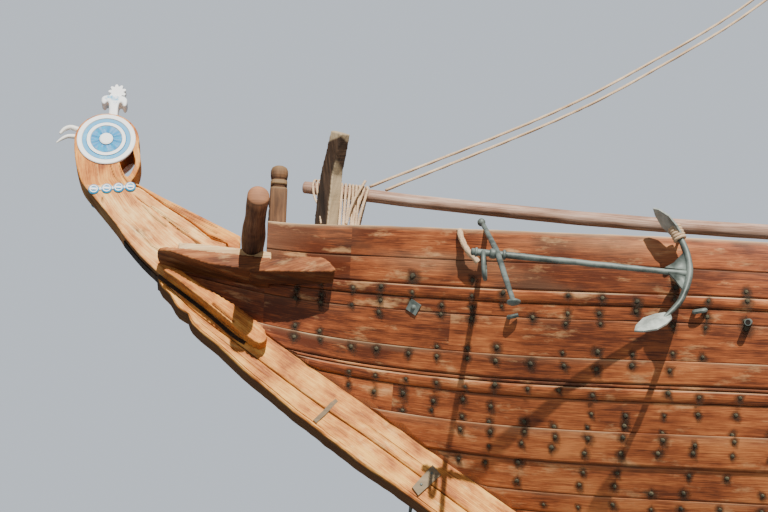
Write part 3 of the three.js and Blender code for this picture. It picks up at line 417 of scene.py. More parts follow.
def halfAt(line, z):
    t = (z - line["base"]) / (line["rail"] - line["base"])
    if t <= 0:
        return stemHalf
    if t >= 1:
        return line["beam"]
    return stemHalf + (line["beam"] - stemHalf) * (1 - (1 - t) ** line["n"]) ** line["m"]

def onHull(x, z, side, out=0.0):
    line = lineAt(x)
    return Vector((x + line["rake"] * z, side * (halfAt(line, z) + out), z))

# Planking. Each strake runs at a fixed depth below the sheer; proud is how far it stands out of the frames' line.
planking = {
    "strakes": [  # top, bottom, proud, rounded
        (0.0, 0.232, 0.004, 0), (0.236, 0.412, 0.001, 0), (0.424, 0.500, 0.026, 1), (0.506, 0.600, 0.000, 0),
        (0.604, 0.850, 0.003, 0), (0.853, 0.998, 0.016, 0), (1.008, 1.022, 0.010, 0), (1.032, 1.104, 0.028, 1),
        (1.110, 1.300, 0.002, 0), (1.303, 1.500, 0.020, 0), (1.506, 1.690, -0.004, 0), (1.696, 1.810, 0.002, 0),
        (1.815, 2.010, -0.002, 0)],
    "plankHigh": 0.195, "seam": 0.005, "deepest": 3.9, "groove": 0.014,
    "spacing": 0.10, "bottomShares": (0.12, 0.3, 0.5, 0.7, 0.84, 0.93, 0.98, 1.0),
}

def strakeTable():
    rows = list(planking["strakes"])
    top = rows[-1][1] + planking["seam"]
    index = 0
    while top < planking["deepest"]:
        bottom = top + planking["plankHigh"] * (0.9 + 0.25 * scatter(index, 3))
        rows.append((top, bottom - planking["seam"], 0.004 * (scatter(index, 5) - 0.5), 0))
        top = bottom
        index += 1
    return rows

strakes = strakeTable()

def strakeRows(first, last):
    # Depth, stand-out, strake index and seam share of each mesh row between two depths.
    rows = []
    for index, (top, bottom, proud, rounded) in enumerate(strakes):
        if bottom <= first or top >= last:
            continue
        high = bottom - top
        if rounded:
            for share, part in ((0, 0.2), (0.08, 0.62), (0.25, 0.9), (0.5, 1), (0.75, 0.92), (0.93, 0.7), (1, 0.3)):
                rows.append((top + high * share, proud * part, index, 0.0))
        else:
            edge = 0.006
            rows.append((top, proud - 0.004, index, 0.55 if index else 0.0))
            rows.append((top + edge, proud, index, 0.0))
            rows.append((top + 0.015, proud, index, 0.0))
            if index == 0:
                rows += [(top + 0.018, proud, index, 0.0), (top + 0.04, proud, index, 0.0)]
            if high > 0.06:
                rows.append((top + high * 0.35, proud + 0.001, index, 0.0))
                rows.append((top + high * 0.7, proud + 0.001, index, 0.0))
            rows.append((bottom - edge, proud, index, 0.0))
            rows.append((bottom, proud - 0.004, index, 0.55))
        nextTop = strakes[index + 1][0] if index + 1 < len(strakes) else bottom
        if nextTop > bottom:
            rows.append(((bottom + nextTop) / 2, min(proud, 0.004) - planking["groove"], index, 1.0))
    return rows

toneAndShadeByDepth = [(0.0, -1.0), (0.9, -0.7), (1.4, 0.30), (2.4, 0.55)]

def plankToneAndShade(strake, x, seed, depth):
    # The upper strakes are painted darker and the lower ones lighter, painted shade and painted light that make up for
    # the dimmer light on the down-facing lower hull; the foremost planks are darkest.
    length = 4.5 + 2.5 * scatter(strake, seed, 1)
    number = math.floor((x + length * scatter(strake, seed, 2)) / length)
    shift = along(toneAndShadeByDepth, depth) - 0.5 * (1 - smoothStep(-11.0, -10.0, x))
    return 0.2 + 0.6 * scatter(strake, number, seed) + shift, number

def buildPlanking(name, side, stations, topDepth, thickness, seed, materials):
    # topDepth(line) gives the depth below the sheer where the piece starts; negative is above the sheer.
    rows = strakeRows(-0.001, planking["deepest"])
    above = min(topDepth(lineAt(x)) for x in (stations[0], stations[-1]))
    if above < -0.01:
        step = -above / 4
        rows = [(above + step * k, 0.004, 60 + k, 0.0) for k in range(4)] + rows
    verts, uvs, cavities, greys = [], [], [], []
    rings = []
    for x in stations:
        line = lineAt(x)
        first = topDepth(line)
        baseDepth = line["rail"] - line["base"]
        ring = []

        def addVertex(depth, out, v, cavity, grey, inner=False):
            z = line["rail"] - depth
            half = halfAt(line, z)
            y = max(half - thickness, 0.012) if inner else half + out
            wobble = 0.0 if inner else 0.002 * ripple(x * 1.7, depth * 5, seed)
            verts.append((x + line["rake"] * z, side * (y + wobble), z))
            uvs.append((x, v))
            cavities.append(cavity)
            greys.append(grey)
            return len(verts) - 1

        done = False
        topVertex = None
        for depth, out, strake, seam in rows:
            if depth < first - 1e-6:
                if topVertex is None:
                    topVertex = addVertex(first, out, first + strake * 3.7, 0.3, 0)
                ring.append(topVertex)
                continue
            if depth >= baseDepth:
                if not done:
                    ring.append(addVertex(baseDepth, min(out, 0), baseDepth, 0.6, 0))
                    done = True
                else:
                    ring.append(ring[-1])
                continue
            rough = ripple(x * 2.2, depth * 9, seed + 3)
            cavity = seam * (0.75 + 0.5 * rough)
            deep = out - 0.004 * seam * abs(rough)
            grey = max(0.0, 1 - (depth - first) / (0.022 + 0.03 * abs(ripple(x * 3, seed, 1))))
            if strake < len(strakes):
                # Pale top edges on the proud strakes: painted highlight where the ledge catches the sun, partly
                # weathering.
                near = 1 - min(abs(depth - strakes[strake][0] - 0.006) / 0.012, 1)
                lifted = strakes[strake][2] - (strakes[strake - 1][2] if strake else 0)
                grey = max(grey, near * min(max(lifted, 0.002) / 0.012, 1) * (0.55 + 0.9 * rough))
                if strake < 2:
                    grey = max(grey, 0.4 * ripple(x * 1.1, depth * 6, seed + 8))
                    cavity = max(cavity, 1.3 * ripple(x * 2.3, depth * 11, seed + 5) - 0.15)
            ring.append(addVertex(depth, deep, depth + strake * 3.7, cavity, grey))
        if not done and baseDepth > planking["deepest"]:
            for share in planking["bottomShares"]:
                depth = planking["deepest"] + (baseDepth - planking["deepest"]) * share
                ring.append(addVertex(depth, 0, depth, 0, 0))
        else:
            if not done:
                ring.append(addVertex(baseDepth, 0, baseDepth, 0.6, 0))
            while len(ring) < len(rows) + len(planking["bottomShares"]):
                ring.append(ring[-1])
        del ring[len(rows) + len(planking["bottomShares"]):]
        innerTop = max(first, 0.0)
        for share in (1.0, 0.9, 0.75, 0.6, 0.45, 0.3, 0.15, 0.05, 0.0):
            depth = innerTop + (baseDepth - innerTop) * share
            ring.append(addVertex(depth, 0, -depth, 0, 0.25 if share < 0.4 else 0, inner=True))
        # Uneven, weathered top edge
        chip = max(0.0, ripple(x * 2.6, seed * 2.0, 0) - 0.22) * 0.075
        lift = 0.006 * ripple(x * 6, seed, 5)
        for k in {ring[0], ring[-1]}:
            px, py, pz = verts[k]
            verts[k] = (px, py, pz + lift - chip)
            greys[k] = 1.0
        rings.append(ring)
    faces, cornerTone, cornerUv = [], [], []
    count = len(rings[0])
    for i in range(len(rings) - 1):
        xm = (stations[i] + stations[i + 1]) / 2
        for j in range(count):
            k = (j + 1) % count
            corners = [rings[i][j], rings[i][k], rings[i + 1][k], rings[i + 1][j]]
            unique = list(dict.fromkeys(corners))
            if len(unique) < 3:
                continue
            if side > 0:
                unique.reverse()
            strake = rows[j][2] if j < len(rows) else 80 + j
            tone, number = plankToneAndShade(strake, xm, seed, rows[j][0] if j < len(rows) else 0.5)
            shift = 7.3 * scatter(strake, number, seed, 4)
            faces.append(unique)
            for corner in unique:
                cornerTone.append(tone)
                cornerUv.append((uvs[corner][0] + shift, uvs[corner][1]))
    for ring, turned in ((rings[0], False), (rings[-1], True)):
        # End caps: strips from the outer rows to the inner face
        loop = list(dict.fromkeys(ring))
        order = loop if turned else loop[::-1]
        if side > 0:
            order = order[::-1]
        faces.append(order)
        for corner in order:
            cornerTone.append(0.4)
            cornerUv.append((verts[corner][1], verts[corner][2]))
    piece = newPiece(name, verts, faces, materials)
    setUv(piece, cornerUv)
    setAttribute(piece, "tone", cornerTone, "CORNER")
    setAttribute(piece, "cavity", [min(max(c, 0), 1) for c in cavities])
    setAttribute(piece, "grey", [min(max(g, 0), 1) for g in greys])
    return piece

def evenly(first, last, spacing):
    count = max(1, round((last - first) / spacing))
    return [first + (last - first) * i / count for i in range(count + 1)]

sides = (("port", -1), ("starboard", 1))
for sideName, side in sides:
    shell = buildPlanking(f"planking_{sideName}", side, evenly(bowFront, sternStation - 0.004, planking["spacing"]),
                          lambda line: 0.0, bulwark, 11.0 + side, [hullTeak])
    bow = buildPlanking(f"bow_planking_{sideName}", side, evenly(-12.09, bowFront, planking["spacing"]),
                        lambda line: line["rail"] - 5.195, bulwark, 21.0 + side, [hullTeak])
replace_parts(bpy.data.objects["planking_port"], "hull", "bow_bulwark_port", "waist_bulwark_port")
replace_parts(bpy.data.objects["planking_starboard"], "bow_bulwark_starboard", "waist_bulwark_starboard")

# Carved and hewn timbers

def smoothLine(points, steps=5, closed=False):
    # A smooth run through given points.
    count = len(points)

    def pick(k):
        return Vector(points[k % count] if closed else points[min(max(k, 0), count - 1)])
    found = []
    for i in range(count if closed else count - 1):
        a, b, c, d = (pick(i + k) for k in (-1, 0, 1, 2))
        for step in range(steps):
            t = step / steps
            found.append(0.5 * (2 * b + (c - a) * t + (2 * a - 5 * b + 4 * c - d) * t * t
                                + (3 * b - a - 3 * c + d) * t ** 3))
    if not closed:
        found.append(pick(count - 1))
    return found

def smoothOutline(points, steps, closed=False):
    return [tuple(p) for p in smoothLine(points, steps, closed)]

def prism(outline, low, high, holes=(), place=lambda u, v, w: (u, w, v)):
    # A closed solid from an outline; place turns outline and thickness values into a point.
    loops = [[Vector((p[0], p[1], 0)) for p in loop] for loop in (outline, *holes)]
    flat = [p for loop in loops for p in loop]
    count = len(flat)
    verts = [place(p.x, p.y, w) for w in (low, high) for p in flat]
    faces = []
    for triangle in tessellate_polygon(loops):
        faces.append(tuple(triangle))
        faces.append(tuple(k + count for k in reversed(triangle)))
    start = 0
    for loop in loops:
        for i in range(len(loop)):
            j = (i + 1) % len(loop)
            faces.append((start + i, start + j, start + j + count, start + i + count))
        start += len(loop)
    return verts, faces

def softened(verts, faces, voxel, rounds):
    # An even net of small faces over a solid, with its corners worn round.
    mesh = bpy.data.meshes.new("draft")
    mesh.from_pydata(verts, [], faces)
    draft = bpy.data.objects.new("draft", mesh)
    bpy.context.scene.collection.objects.link(draft)
    even = draft.modifiers.new("even", "REMESH")
    even.mode = "VOXEL"
    even.voxel_size = voxel
    if rounds:
        soft = draft.modifiers.new("soft", "SMOOTH")
        soft.factor = 0.5
        soft.iterations = rounds
    worn = draft.evaluated_get(bpy.context.evaluated_depsgraph_get()).to_mesh()
    places = np.array([v.co for v in worn.vertices])
    normals = np.array([v.normal for v in worn.vertices])
    polygons = [tuple(p.vertices) for p in worn.polygons]
    bpy.data.objects.remove(draft)
    bpy.data.meshes.remove(mesh)
    return places, normals, polygons

def lineDistance(line, x, z):
    # Distance to a bent line, run along it, side of it and share of its length, for arrays of places.
    best = np.full(len(x), 1e9)
    run = np.zeros(len(x))
    sideOf = np.zeros(len(x))
    length = 0.0
    for a, b in zip(line, line[1:]):
        ax, az, bx, bz = a[0], a[1], b[0], b[1]
        span = hypot(bx - ax, bz - az)
        t = np.clip(((x - ax) * (bx - ax) + (z - az) * (bz - az)) / span ** 2, 0, 1)
        dx, dz = x - (ax + (bx - ax) * t), z - (az + (bz - az) * t)
        distance = np.hypot(dx, dz)
        nearer = distance < best
        best = np.where(nearer, distance, best)
        run = np.where(nearer, length + t * span, run)
        sideOf = np.where(nearer, np.sign((bx - ax) * dz - (bz - az) * dx), sideOf)
        length += span
    return best, run, sideOf * best, run / max(length, 1e-6)

def grainNoise(s, t, y, along=1.3, across=13, seed=0.0):
    return np.array([ripple(a * along, b * across + seed, c * across)
                     for a, b, c in zip(s, t, y)])

def carvedPiece(name, solid, guide, material, voxel=0.012, rounds=3, cracks=(), rough=0.004, under=0.7,
                tone=0.5, chisel=None, plane="side"):
    places, normals, faces = softened(*solid, voxel, rounds)
    x, y, z = places[:, 0], places[:, 1], places[:, 2]
    if plane == "side":
        across, u, v = y, x, z
        facing = np.abs(normals[:, 1])
    else:
        across, u, v = z, x, y
        facing = np.abs(normals[:, 2])
    _, s, t, _ = lineDistance(guide, u, v)
    lift = rough * (grainNoise(s, t, across) + 0.5 * grainNoise(s, t, across, 5, 40, 3.3))
    # Faces that look downward are darkened, scaled by under: painted shade beneath the timber, mixed with dirt.
    cavity = np.clip(-normals[:, 2] - 0.3, 0, 1) * under
    for crack in cracks:
        distance, _, _, share = lineDistance(crack["line"], u, v)
        wide = np.interp(share, [0, 1], crack["wide"])
        inside = np.clip(1.25 - distance / wide, 0, 1) * (facing > 0.5)
        lift = lift - crack["deep"] * inside
        cavity = np.maximum(cavity, inside)
    if chisel:
        marks = np.sin(2 * pi * (s / chisel["step"] + t * chisel["slant"]))
        lift = lift + chisel["deep"] * marks * smoothShare(s, chisel["start"])
    places = places + normals * lift[:, None]
    piece = newPiece(name, [tuple(p) for p in places], faces, [material], smooth=True)
    corners = [k for face in faces for k in face]
    setUv(piece, [(s[k], t[k] + across[k]) for k in corners])
    blotch = tone + 0.5 * grainNoise(s, t, across, 0.9, 2.2, 7.7)
    weatherAndShade(piece, np.clip(blotch, 0, 1).tolist(), np.clip(cavity, 0, 1).tolist(), [0.0] * len(places))
    return piece

def smoothShare(values, start):
    t = np.clip((values - start[0]) / (start[1] - start[0]), 0, 1)
    return t * t * (3 - 2 * t)

def sweep(route, radii, sideCount=12, stretch=(1, 1), up=(0, 0, 1), dome=0, lobes=None, turnAt=0.0):
    # A round bar along a route. Gives places, faces and grain coordinates for each corner.
    points = [Vector(p) for p in route]
    verts, faces, rings, runs = [], [], [], []
    side = None
    run = 0.0
    for i, p in enumerate(points):
        ahead = (points[min(i + 1, len(points) - 1)] - points[max(i - 1, 0)]).normalized()
        if side is None:
            side = ahead.cross(Vector(up)).normalized()
        side = (side - ahead * side.dot(ahead)).normalized()
        lift = side.cross(ahead)
        if i:
            run += (p - points[i - 1]).length
        runs.append(run)
        ring = []
        for k in range(sideCount):
            angle = 2 * pi * k / sideCount + turnAt
            radius = radii[i]
            if lobes:
                radius *= 1 - lobes["deep"] + lobes["deep"] * cos(3 * (angle - 2 * pi * run / lobes["pitch"]))
            ring.append(len(verts))
            verts.append(p + side * (radius * stretch[0] * cos(angle)) + lift * (radius * stretch[1] * sin(angle)))
        rings.append(ring)
    uvs = []
    for i in range(len(rings) - 1):
        for k in range(sideCount):
            j = (k + 1) % sideCount
            faces.append((rings[i][k], rings[i + 1][k], rings[i + 1][j], rings[i][j]))
            a, b = k / sideCount, (k + 1) / sideCount
            girth = 2 * pi * max(radii)
            uvs += [(runs[i], a * girth), (runs[i + 1], a * girth), (runs[i + 1], b * girth), (runs[i], b * girth)]
    for ring, outward in ((rings[0], -1), (rings[-1], 1)):
        centre = sum((verts[k] for k in ring), Vector()) / sideCount
        other = rings[1] if outward < 0 else rings[-2]
        axis = (centre - sum((verts[k] for k in other), Vector()) / sideCount).normalized()
        last = ring
        for level, share in ((0.45, 0.88), (0.8, 0.6)) if dome else ():
            new = []
            base = len(verts)
            for k in ring:
                verts.append(centre + (verts[k] - centre) * share + axis * dome * level)
                new.append(base + len(new))
            for k in range(sideCount):
                j = (k + 1) % sideCount
                quad = (last[k], new[k], new[j], last[j])
                faces.append(quad if outward > 0 else quad[::-1])
                uvs += [(verts[q].y, verts[q].z) for q in faces[-1]]
            last = new
        verts.append(centre + axis * dome)
        tip = len(verts) - 1
        for k in range(sideCount):
            j = (k + 1) % sideCount
            triangle = (last[k], tip, last[j])
            faces.append(triangle if outward > 0 else triangle[::-1])
            uvs += [(verts[q].y, verts[q].z) for q in faces[-1]]
    return verts, faces, uvs

def sweptPiece(name, runsOf, material, body="boat", smooth=True, wobble=0.0, wobbleAcross=6.0,
               tone=0.5):
    # One piece from one or more sweeps.
    verts, faces, uvs = [], [], []
    for part in runsOf:
        start = len(verts)
        verts += part[0]
        faces += [tuple(k + start for k in face) for face in part[1]]
        uvs += part[2]
    if wobble:
        verts = [v + Vector((noise.noise(v * wobbleAcross), noise.noise(v * wobbleAcross + Vector((9, 2, 4))),
                             noise.noise(v * wobbleAcross + Vector((3, 8, 1))))) * wobble for v in verts]
    piece = newPiece(name, verts, faces, [material], body, smooth)
    setUv(piece, uvs)
    weatherAndShade(piece, [tone + 0.4 * noise.noise(v * 1.7) for v in verts], [0.0] * len(verts), [0.0] * len(verts))
    return piece

def resample(route, spacing):
    points = [Vector(p) for p in route]
    found = []
    for a, b in zip(points, points[1:]):
        count = max(1, round((b - a).length / spacing))
        found += [a + (b - a) * i / count for i in range(count)]
    return found + [points[-1]]

def taperOn(route, rows):
    # A radius for each point from rows of (share of the length, radius).
    lengths = [0.0]
    for a, b in zip(route, route[1:]):
        lengths.append(lengths[-1] + (Vector(b) - Vector(a)).length)
    return [along(rows, length / lengths[-1]) for length in lengths]

# Stem head: a carved head with a round face, an eye-shaped hole, and knee planks fanned out behind it.
head = {
    "thick": 0.25, "disc": (-12.85, 6.452), "round": 0.292,
    "front": [(-12.262, 5.10), (-12.275, 5.130), (-12.44, 5.288), (-12.602, 5.475), (-12.69, 5.600), (-12.90, 5.85),
              (-12.99, 5.95),
              (-13.045, 6.04), (-13.10, 6.20), (-13.13, 6.35)],
    "back": [(-12.560, 6.42), (-12.538, 6.33), (-12.530, 6.25), (-12.54, 6.17), (-12.565, 6.09), (-12.595, 6.035),
             (-12.575, 5.99), (-12.553, 5.905), (-12.474, 5.830), (-12.348, 5.745), (-12.158, 5.580),
             (-11.970, 5.444),
             (-11.93, 5.22), (-12.09, 5.205), (-12.10, 5.12)],
    "eye": [(-12.715, 6.25), (-12.70, 6.30), (-12.66, 6.345), (-12.61, 6.365), (-12.595, 6.32), (-12.575, 6.25),
            (-12.592, 6.16), (-12.632, 6.085), (-12.68, 6.15)],
    "guide": [(-11.9, 5.15), (-12.3, 5.47), (-12.6, 5.76), (-12.8, 6.05), (-12.88, 6.44), (-12.88, 6.8)],
    "cracks": [
        {"line": [(-12.715, 6.20), (-12.665, 6.08), (-12.585, 5.985)], "wide": (0.006, 0.008), "deep": 0.008},
        {"line": [(-12.79, 6.19), (-12.745, 6.08), (-12.665, 5.995)], "wide": (0.005, 0.006), "deep": 0.005},
        {"line": [(-12.47, 5.80), (-12.38, 5.70), (-12.25, 5.60)], "wide": (0.005, 0.009), "deep": 0.007},
        {"line": [(-12.50, 5.55), (-12.36, 5.40), (-12.25, 5.33)], "wide": (0.005, 0.007), "deep": 0.005},
        {"line": [(-12.830, 5.855), (-12.825, 5.805)], "wide": (0.010, 0.006), "deep": 0.008}],
}

def discArc(centre, radius, start, end, steps):
    return [(centre[0] + radius * cos(radians(start + (end - start) * i / steps)),
             centre[1] + radius * sin(radians(start + (end - start) * i / steps))) for i in range(steps + 1)]

def makeHead():
    outline = smoothOutline(head["front"], 3) + discArc(head["disc"], head["round"], 176, 0, 22)
    outline += smoothOutline(head["back"], 3)
    eye = smoothOutline(head["eye"], 3, closed=True)
    solid = prism(outline, -head["thick"] / 2, head["thick"] / 2, [eye])
    # Its downward faces get a strong painted shade, mixed with dirt.
    piece = carvedPiece("stem_head_carved", solid, head["guide"], headTimber, voxel=0.011, rounds=3,
                        cracks=head["cracks"], rough=0.002, under=2.2, tone=0.55)
    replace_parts(piece, "stem_head")
    # The throat above the knee is redder than the rest.
    piece.data.materials.append(redTimber)
    for face in piece.data.polygons:
        x, _, z = face.center
        if z > 5.985 + 0.02 * ripple(x * 6, z * 6, 0):
            face.material_index = 1

knee = {
    "planks": [
        {"outline": [(-12.600, 5.930), (-12.553, 5.992), (-12.499, 5.975), (-12.290, 5.817), (-12.050, 5.663),
                     (-11.844, 5.500), (-11.712, 5.462), (-11.70, 5.21), (-11.915, 5.21), (-11.960, 5.420),
                     (-12.150, 5.572), (-12.345, 5.738)],
         "half": 0.121, "tone": 0.62, "paint": 0},
        {"outline": [(-12.560, 6.018), (-12.545, 6.030), (-12.296, 5.897), (-11.956, 5.730), (-11.59, 5.548),
                     (-11.59, 5.21), (-11.69, 5.21), (-11.700, 5.470), (-11.835, 5.516), (-12.045, 5.674),
                     (-12.286, 5.828), (-12.499, 5.986)],
         "half": 0.116, "tone": 0.30, "paint": 1}],
    "guide": [(-12.6, 6.02), (-12.2, 5.78), (-11.8, 5.56), (-11.5, 5.40)],
    "cracks": [{"line": [(-12.29, 5.700), (-12.158, 5.590), (-12.04, 5.505), (-11.955, 5.445)], "wide": (0.004,
                                                                                                         0.019),
                "deep": 0.03},
               {"line": [(-12.09, 5.690), (-11.96, 5.585), (-11.88, 5.53), (-11.76, 5.478)], "wide": (0.004, 0.020),
                "deep": 0.024},
               {"line": [(-12.40, 5.80), (-12.20, 5.66), (-12.05, 5.55)], "wide": (0.004, 0.005), "deep": 0.005},
               {"line": [(-12.36, 5.885), (-12.10, 5.73), (-11.80, 5.56)], "wide": (0.004, 0.005), "deep": 0.006},
               {"line": [(-12.22, 5.84), (-12.00, 5.715), (-11.80, 5.62)], "wide": (0.004, 0.005), "deep": 0.005}],
}

def makeKnee():
    made = []
    for index, plank in enumerate(knee["planks"]):
        solid = prism(plank["outline"], -plank["half"], plank["half"])
        made.append(carvedPiece(f"knee_plank_{index + 1}", solid, knee["guide"],
                                (headTimber, redTimber)[plank["paint"]],
                                voxel=0.010, rounds=1, cracks=knee["cracks"], rough=0.002,
                                tone=plank["tone"]))
    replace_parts(made[0], "stem_knee")

# Stem and false stem: long timbers between two lines in side view.
stemRun = {
    "rabbet": [(-12.10, 5.185), (-11.70, 4.895), (-11.36, 4.640), (-10.90, 4.305), (-10.30, 3.895), (-9.80, 3.545),
               (-9.20, 3.125), (-8.60, 2.700), (-8.00, 2.285), (-7.50, 1.930), (-6.70, 1.370), (-6.00, 0.885),
               (-5.00, 0.175), (-4.00, -0.490), (-3.00, -1.080), (-1.50, -1.600)],
    "seam": [(-12.262, 5.092), (-11.99, 4.823), (-11.75, 4.640), (-11.484, 4.449), (-11.146, 4.195),
             (-10.796, 3.946),
             (-10.554, 3.785), (-10.229, 3.558), (-9.20, 2.812), (-8.00, 1.969), (-6.00, 0.569), (-4.00, -0.880),
             (-2.80, -1.700), (-2.00, -2.000), (-1.50, -2.098)],
    "edge": [(-12.285, 5.105), (-12.265, 5.035), (-12.19, 4.965), (-12.159, 4.931), (-12.13, 4.87), (-12.10, 4.825),
             (-12.05, 4.795), (-12.005, 4.775), (-11.985, 4.715), (-11.955, 4.672), (-11.885, 4.607),
             (-11.745, 4.497),
             (-11.492, 4.266), (-11.175, 4.000), (-10.827, 3.730), (-10.517, 3.510), (-10.179, 3.276),
             (-9.20, 2.594),
             (-8.00, 1.754), (-6.00, 0.354), (-4.00, -1.120), (-2.90, -1.880), (-2.50, -2.098), (-1.52, -2.100)],
}

ribbonNet = {"spacing": 0.05, "rows": 10}

def ribbon(name, upper, lower, half, material, replaced, cracks=(), raggedEdge=0.0, seed=0.0, tone=0.5):
    # A timber between two lines, square in section with worn corners, split by long cracks.
    upperRun, lowerRun = [Vector((p[0], 0, p[1])) for p in upper], [Vector((p[0], 0, p[1])) for p in lower]

    def lengthsOf(line):
        found = [0.0]
        for a, b in zip(line, line[1:]):
            found.append(found[-1] + (b - a).length)
        return found
    upperLengths, lowerLengths = lengthsOf(upperRun), lengthsOf(lowerRun)
    count, rows = round(upperLengths[-1] / ribbonNet["spacing"]), ribbonNet["rows"]
    shares = sorted({0.0, 0.012, 0.04, 0.96, 0.985, 1.0, *(k / rows for k in range(1, rows)),
                     *(c["share"] + d for c in cracks for d in (-0.02, 0, 0.02))})

    def pointOn(line, lengths, t):
        target = t * lengths[-1]
        i = 0
        while i < len(lengths) - 2 and lengths[i + 1] < target:
            i += 1
        return line[i].lerp(line[i + 1], (target - lengths[i]) / (lengths[i + 1] - lengths[i]))
    verts, uvs, cavities, rings = [], [], [], []
    for i in range(count + 1):
        t = i / count
        top, bottom = pointOn(upperRun, upperLengths, t), pointOn(lowerRun, lowerLengths, t)
        run = t * upperLengths[-1]
        ragged = raggedEdge * (ripple(run * 2.3, seed, 0) + 0.6 * ripple(run * 9, seed, 2))
        bottom = bottom + (bottom - top).normalized() * ragged
        ring = []
        for side, order in ((-1, shares), (1, shares[::-1])):
            for share in order:
                corner = min(share, 1 - share)
                inset = 0.022 * max(0, 1 - corner / 0.035) ** 2
                if share > 0.9:
                    inset += abs(ragged) * 0.8 + 0.006
                place = top.lerp(bottom, share)
                deep = 0.0
                # The lowest edge is darkened: painted shade under the timber, mixed with dirt.
                cavity = 0.95 * smoothStep(0.965, 1.0, share)
                for crack in cracks:
                    live = max(0.0, ripple(run * 0.55, crack["seed"], seed) + crack["bias"])
                    if abs(share - crack["share"]) < 0.005:
                        deep += crack["deep"] * min(live * 2, 1)
                        cavity = max(cavity, min(live * 4, 1))
                rough = 0.004 * ripple(run * 1.4, share * 9 + side * 3, seed)
                rough += 0.002 * ripple(run * 6, share * 40, seed)
                ring.append(len(verts))
                verts.append((place.x, side * (half - inset - deep + rough), place.z))
                uvs.append((run, share * (top - bottom).length + side * 0.7))
                cavities.append(cavity)
        rings.append(ring)
    faces = []
    size = len(rings[0])
    for i in range(count):
        for k in range(size):
            j = (k + 1) % size
            faces.append((rings[i][k], rings[i][j], rings[i + 1][j], rings[i + 1][k]))
    faces.append(tuple(reversed(rings[0])))
    faces.append(tuple(rings[-1]))
    piece = newPiece(name, verts, faces, [material], smooth=False)
    setUv(piece, [uvs[k] for face in faces for k in face])
    weatherAndShade(piece, [tone + 0.45 * ripple(u * 0.5, v * 4, seed) for u, v in uvs], cavities, [0.0] * len(verts))
    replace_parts(piece, replaced)
    return piece

def makeStem():
    ribbon("stem_timber_long", smoothOutline(stemRun["rabbet"], 3),
           smoothOutline(stemRun["seam"], 3), 0.130, stemTimber, "stem", seed=4.0, tone=0.5,
           cracks=({"share": 0.30, "seed": 1.5, "bias": -0.16, "deep": 0.03},
                   {"share": 0.62, "seed": 6.5, "bias": -0.12, "deep": 0.02}))
    ribbon("false_stem_timber", smoothOutline(stemRun["seam"], 3), stemRun["edge"], 0.120, stemTimber,
           "false_stem", seed=9.0, raggedEdge=0.012, tone=0.55,
           cracks=({"share": 0.45, "seed": 3.5, "bias": -0.14, "deep": 0.02},
                   {"share": 0.82, "seed": 8.5, "bias": -0.14, "deep": 0.03}))

headTimber = timberMaterial("creamStemHead", rgb(164, 94, 46), rgb(224, 156, 88), rgb(252, 208, 138), streak=18,
                            blotch=6.0, wear=rgb(255, 230, 168), wearAmount=0.47, wearScale=7, dirt=rgb(62, 38, 24),
                            streaky=0.28, dirtAmount=0.38, rough=0.74, bump=0.25, grey=rgb(168, 158, 138))
redTimber = timberMaterial("reddishHead", rgb(146, 78, 34), rgb(204, 128, 58), rgb(240, 176, 92), streak=22,
                           streaky=0.3,
                           blotch=6.0, wear=rgb(252, 206, 124), wearAmount=0.44, wearScale=8, dirt=rgb(84, 50, 32),
                           dirtAmount=0.30, rough=0.74, bump=0.25, grey=rgb(168, 158, 138))
makeHead()
makeKnee()
makeStem()
print("stem and head built")

# Head shelf on each side: a plank, a pale upper board that stands in for the plank's sunlit top bevel as painted
# highlight, and a thicker chock aft.
shelf = {
    "fall": 0.165, "height": 5.172, "at": -11.62,
    "plank": {"outline": [(-12.27, 0.125), (-12.295, 0.20), (-12.285, 0.33), (-12.23, 0.41), (-12.05, 0.455),
                          (-11.48, 0.575), (-11.33, 0.610), (-11.33, 0.19), (-11.60, 0.125)], "low": -0.15,
              "high": -0.02},
    "board": {"outline": [(-12.15, 0.125), (-12.11, 0.40), (-12.02, 0.44), (-11.48, 0.545), (-11.32, 0.575),
                          (-11.32, 0.20),
                          (-11.60, 0.125)], "low": -0.022, "high": 0.052},
}

def onShelf(u, v, w):
    return (u, v, shelf["height"] - shelf["fall"] * (u - shelf["at"]) + w)

def makeShelf(sideName, side):
    def place(u, v, w):
        nose = 0.35 + 0.65 * smoothStep(-12.30, -11.75, u)
        return onShelf(u, side * v, w * nose if w < -0.03 else w)
    plank = shelf["plank"]
    outline = smoothOutline(plank["outline"][:7], 3) + plank["outline"][7:]
    base = carvedPiece(f"shelf_plank_{sideName}", prism(outline, plank["low"], plank["high"], place=place),
                       [(-12.4, 0), (-11.2, side * 0.24)], shelfTimber, voxel=0.011, rounds=3,
                       rough=0.006,
                       under=0.55, tone=0.3, plane="plan")
    # The pale board: painted highlight along the plank's top edge.
    board = shelf["board"]
    carvedPiece(f"shelf_board_{sideName}", prism(board["outline"], board["low"], board["high"], place=place),
                [(-12.4, 0), (-11.2, side * 0.24)], paleBoard, voxel=0.011, rounds=1, rough=0.004,
                under=0.5, tone=0.7, plane="plan")
    chock = [(-11.50, 4.985), (-11.46, 5.035), (-11.37, 5.077), (-11.20, 5.085), (-10.95, 5.080), (-10.87, 5.050),
             (-10.81, 4.985), (-10.79, 4.935), (-10.90, 4.930), (-11.37, 4.972)]

    def lean(u, v, w):
        outer = 0.575 + (u + 11.48) * (0.76 - 0.575) / (-10.80 + 11.48)
        return (u, side * (outer + w), v)
    carvedPiece(f"shelf_chock_{sideName}", prism(smoothOutline(chock, 2, closed=True), -0.26, 0.0,
                                                 place=lean),
                [(-11.6, 5.05), (-10.7, 5.0)], shelfTimber, voxel=0.011, rounds=3, rough=0.007,
                under=0.9,
                tone=0.0)
    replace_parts(base, f"head_shelf_{sideName}")

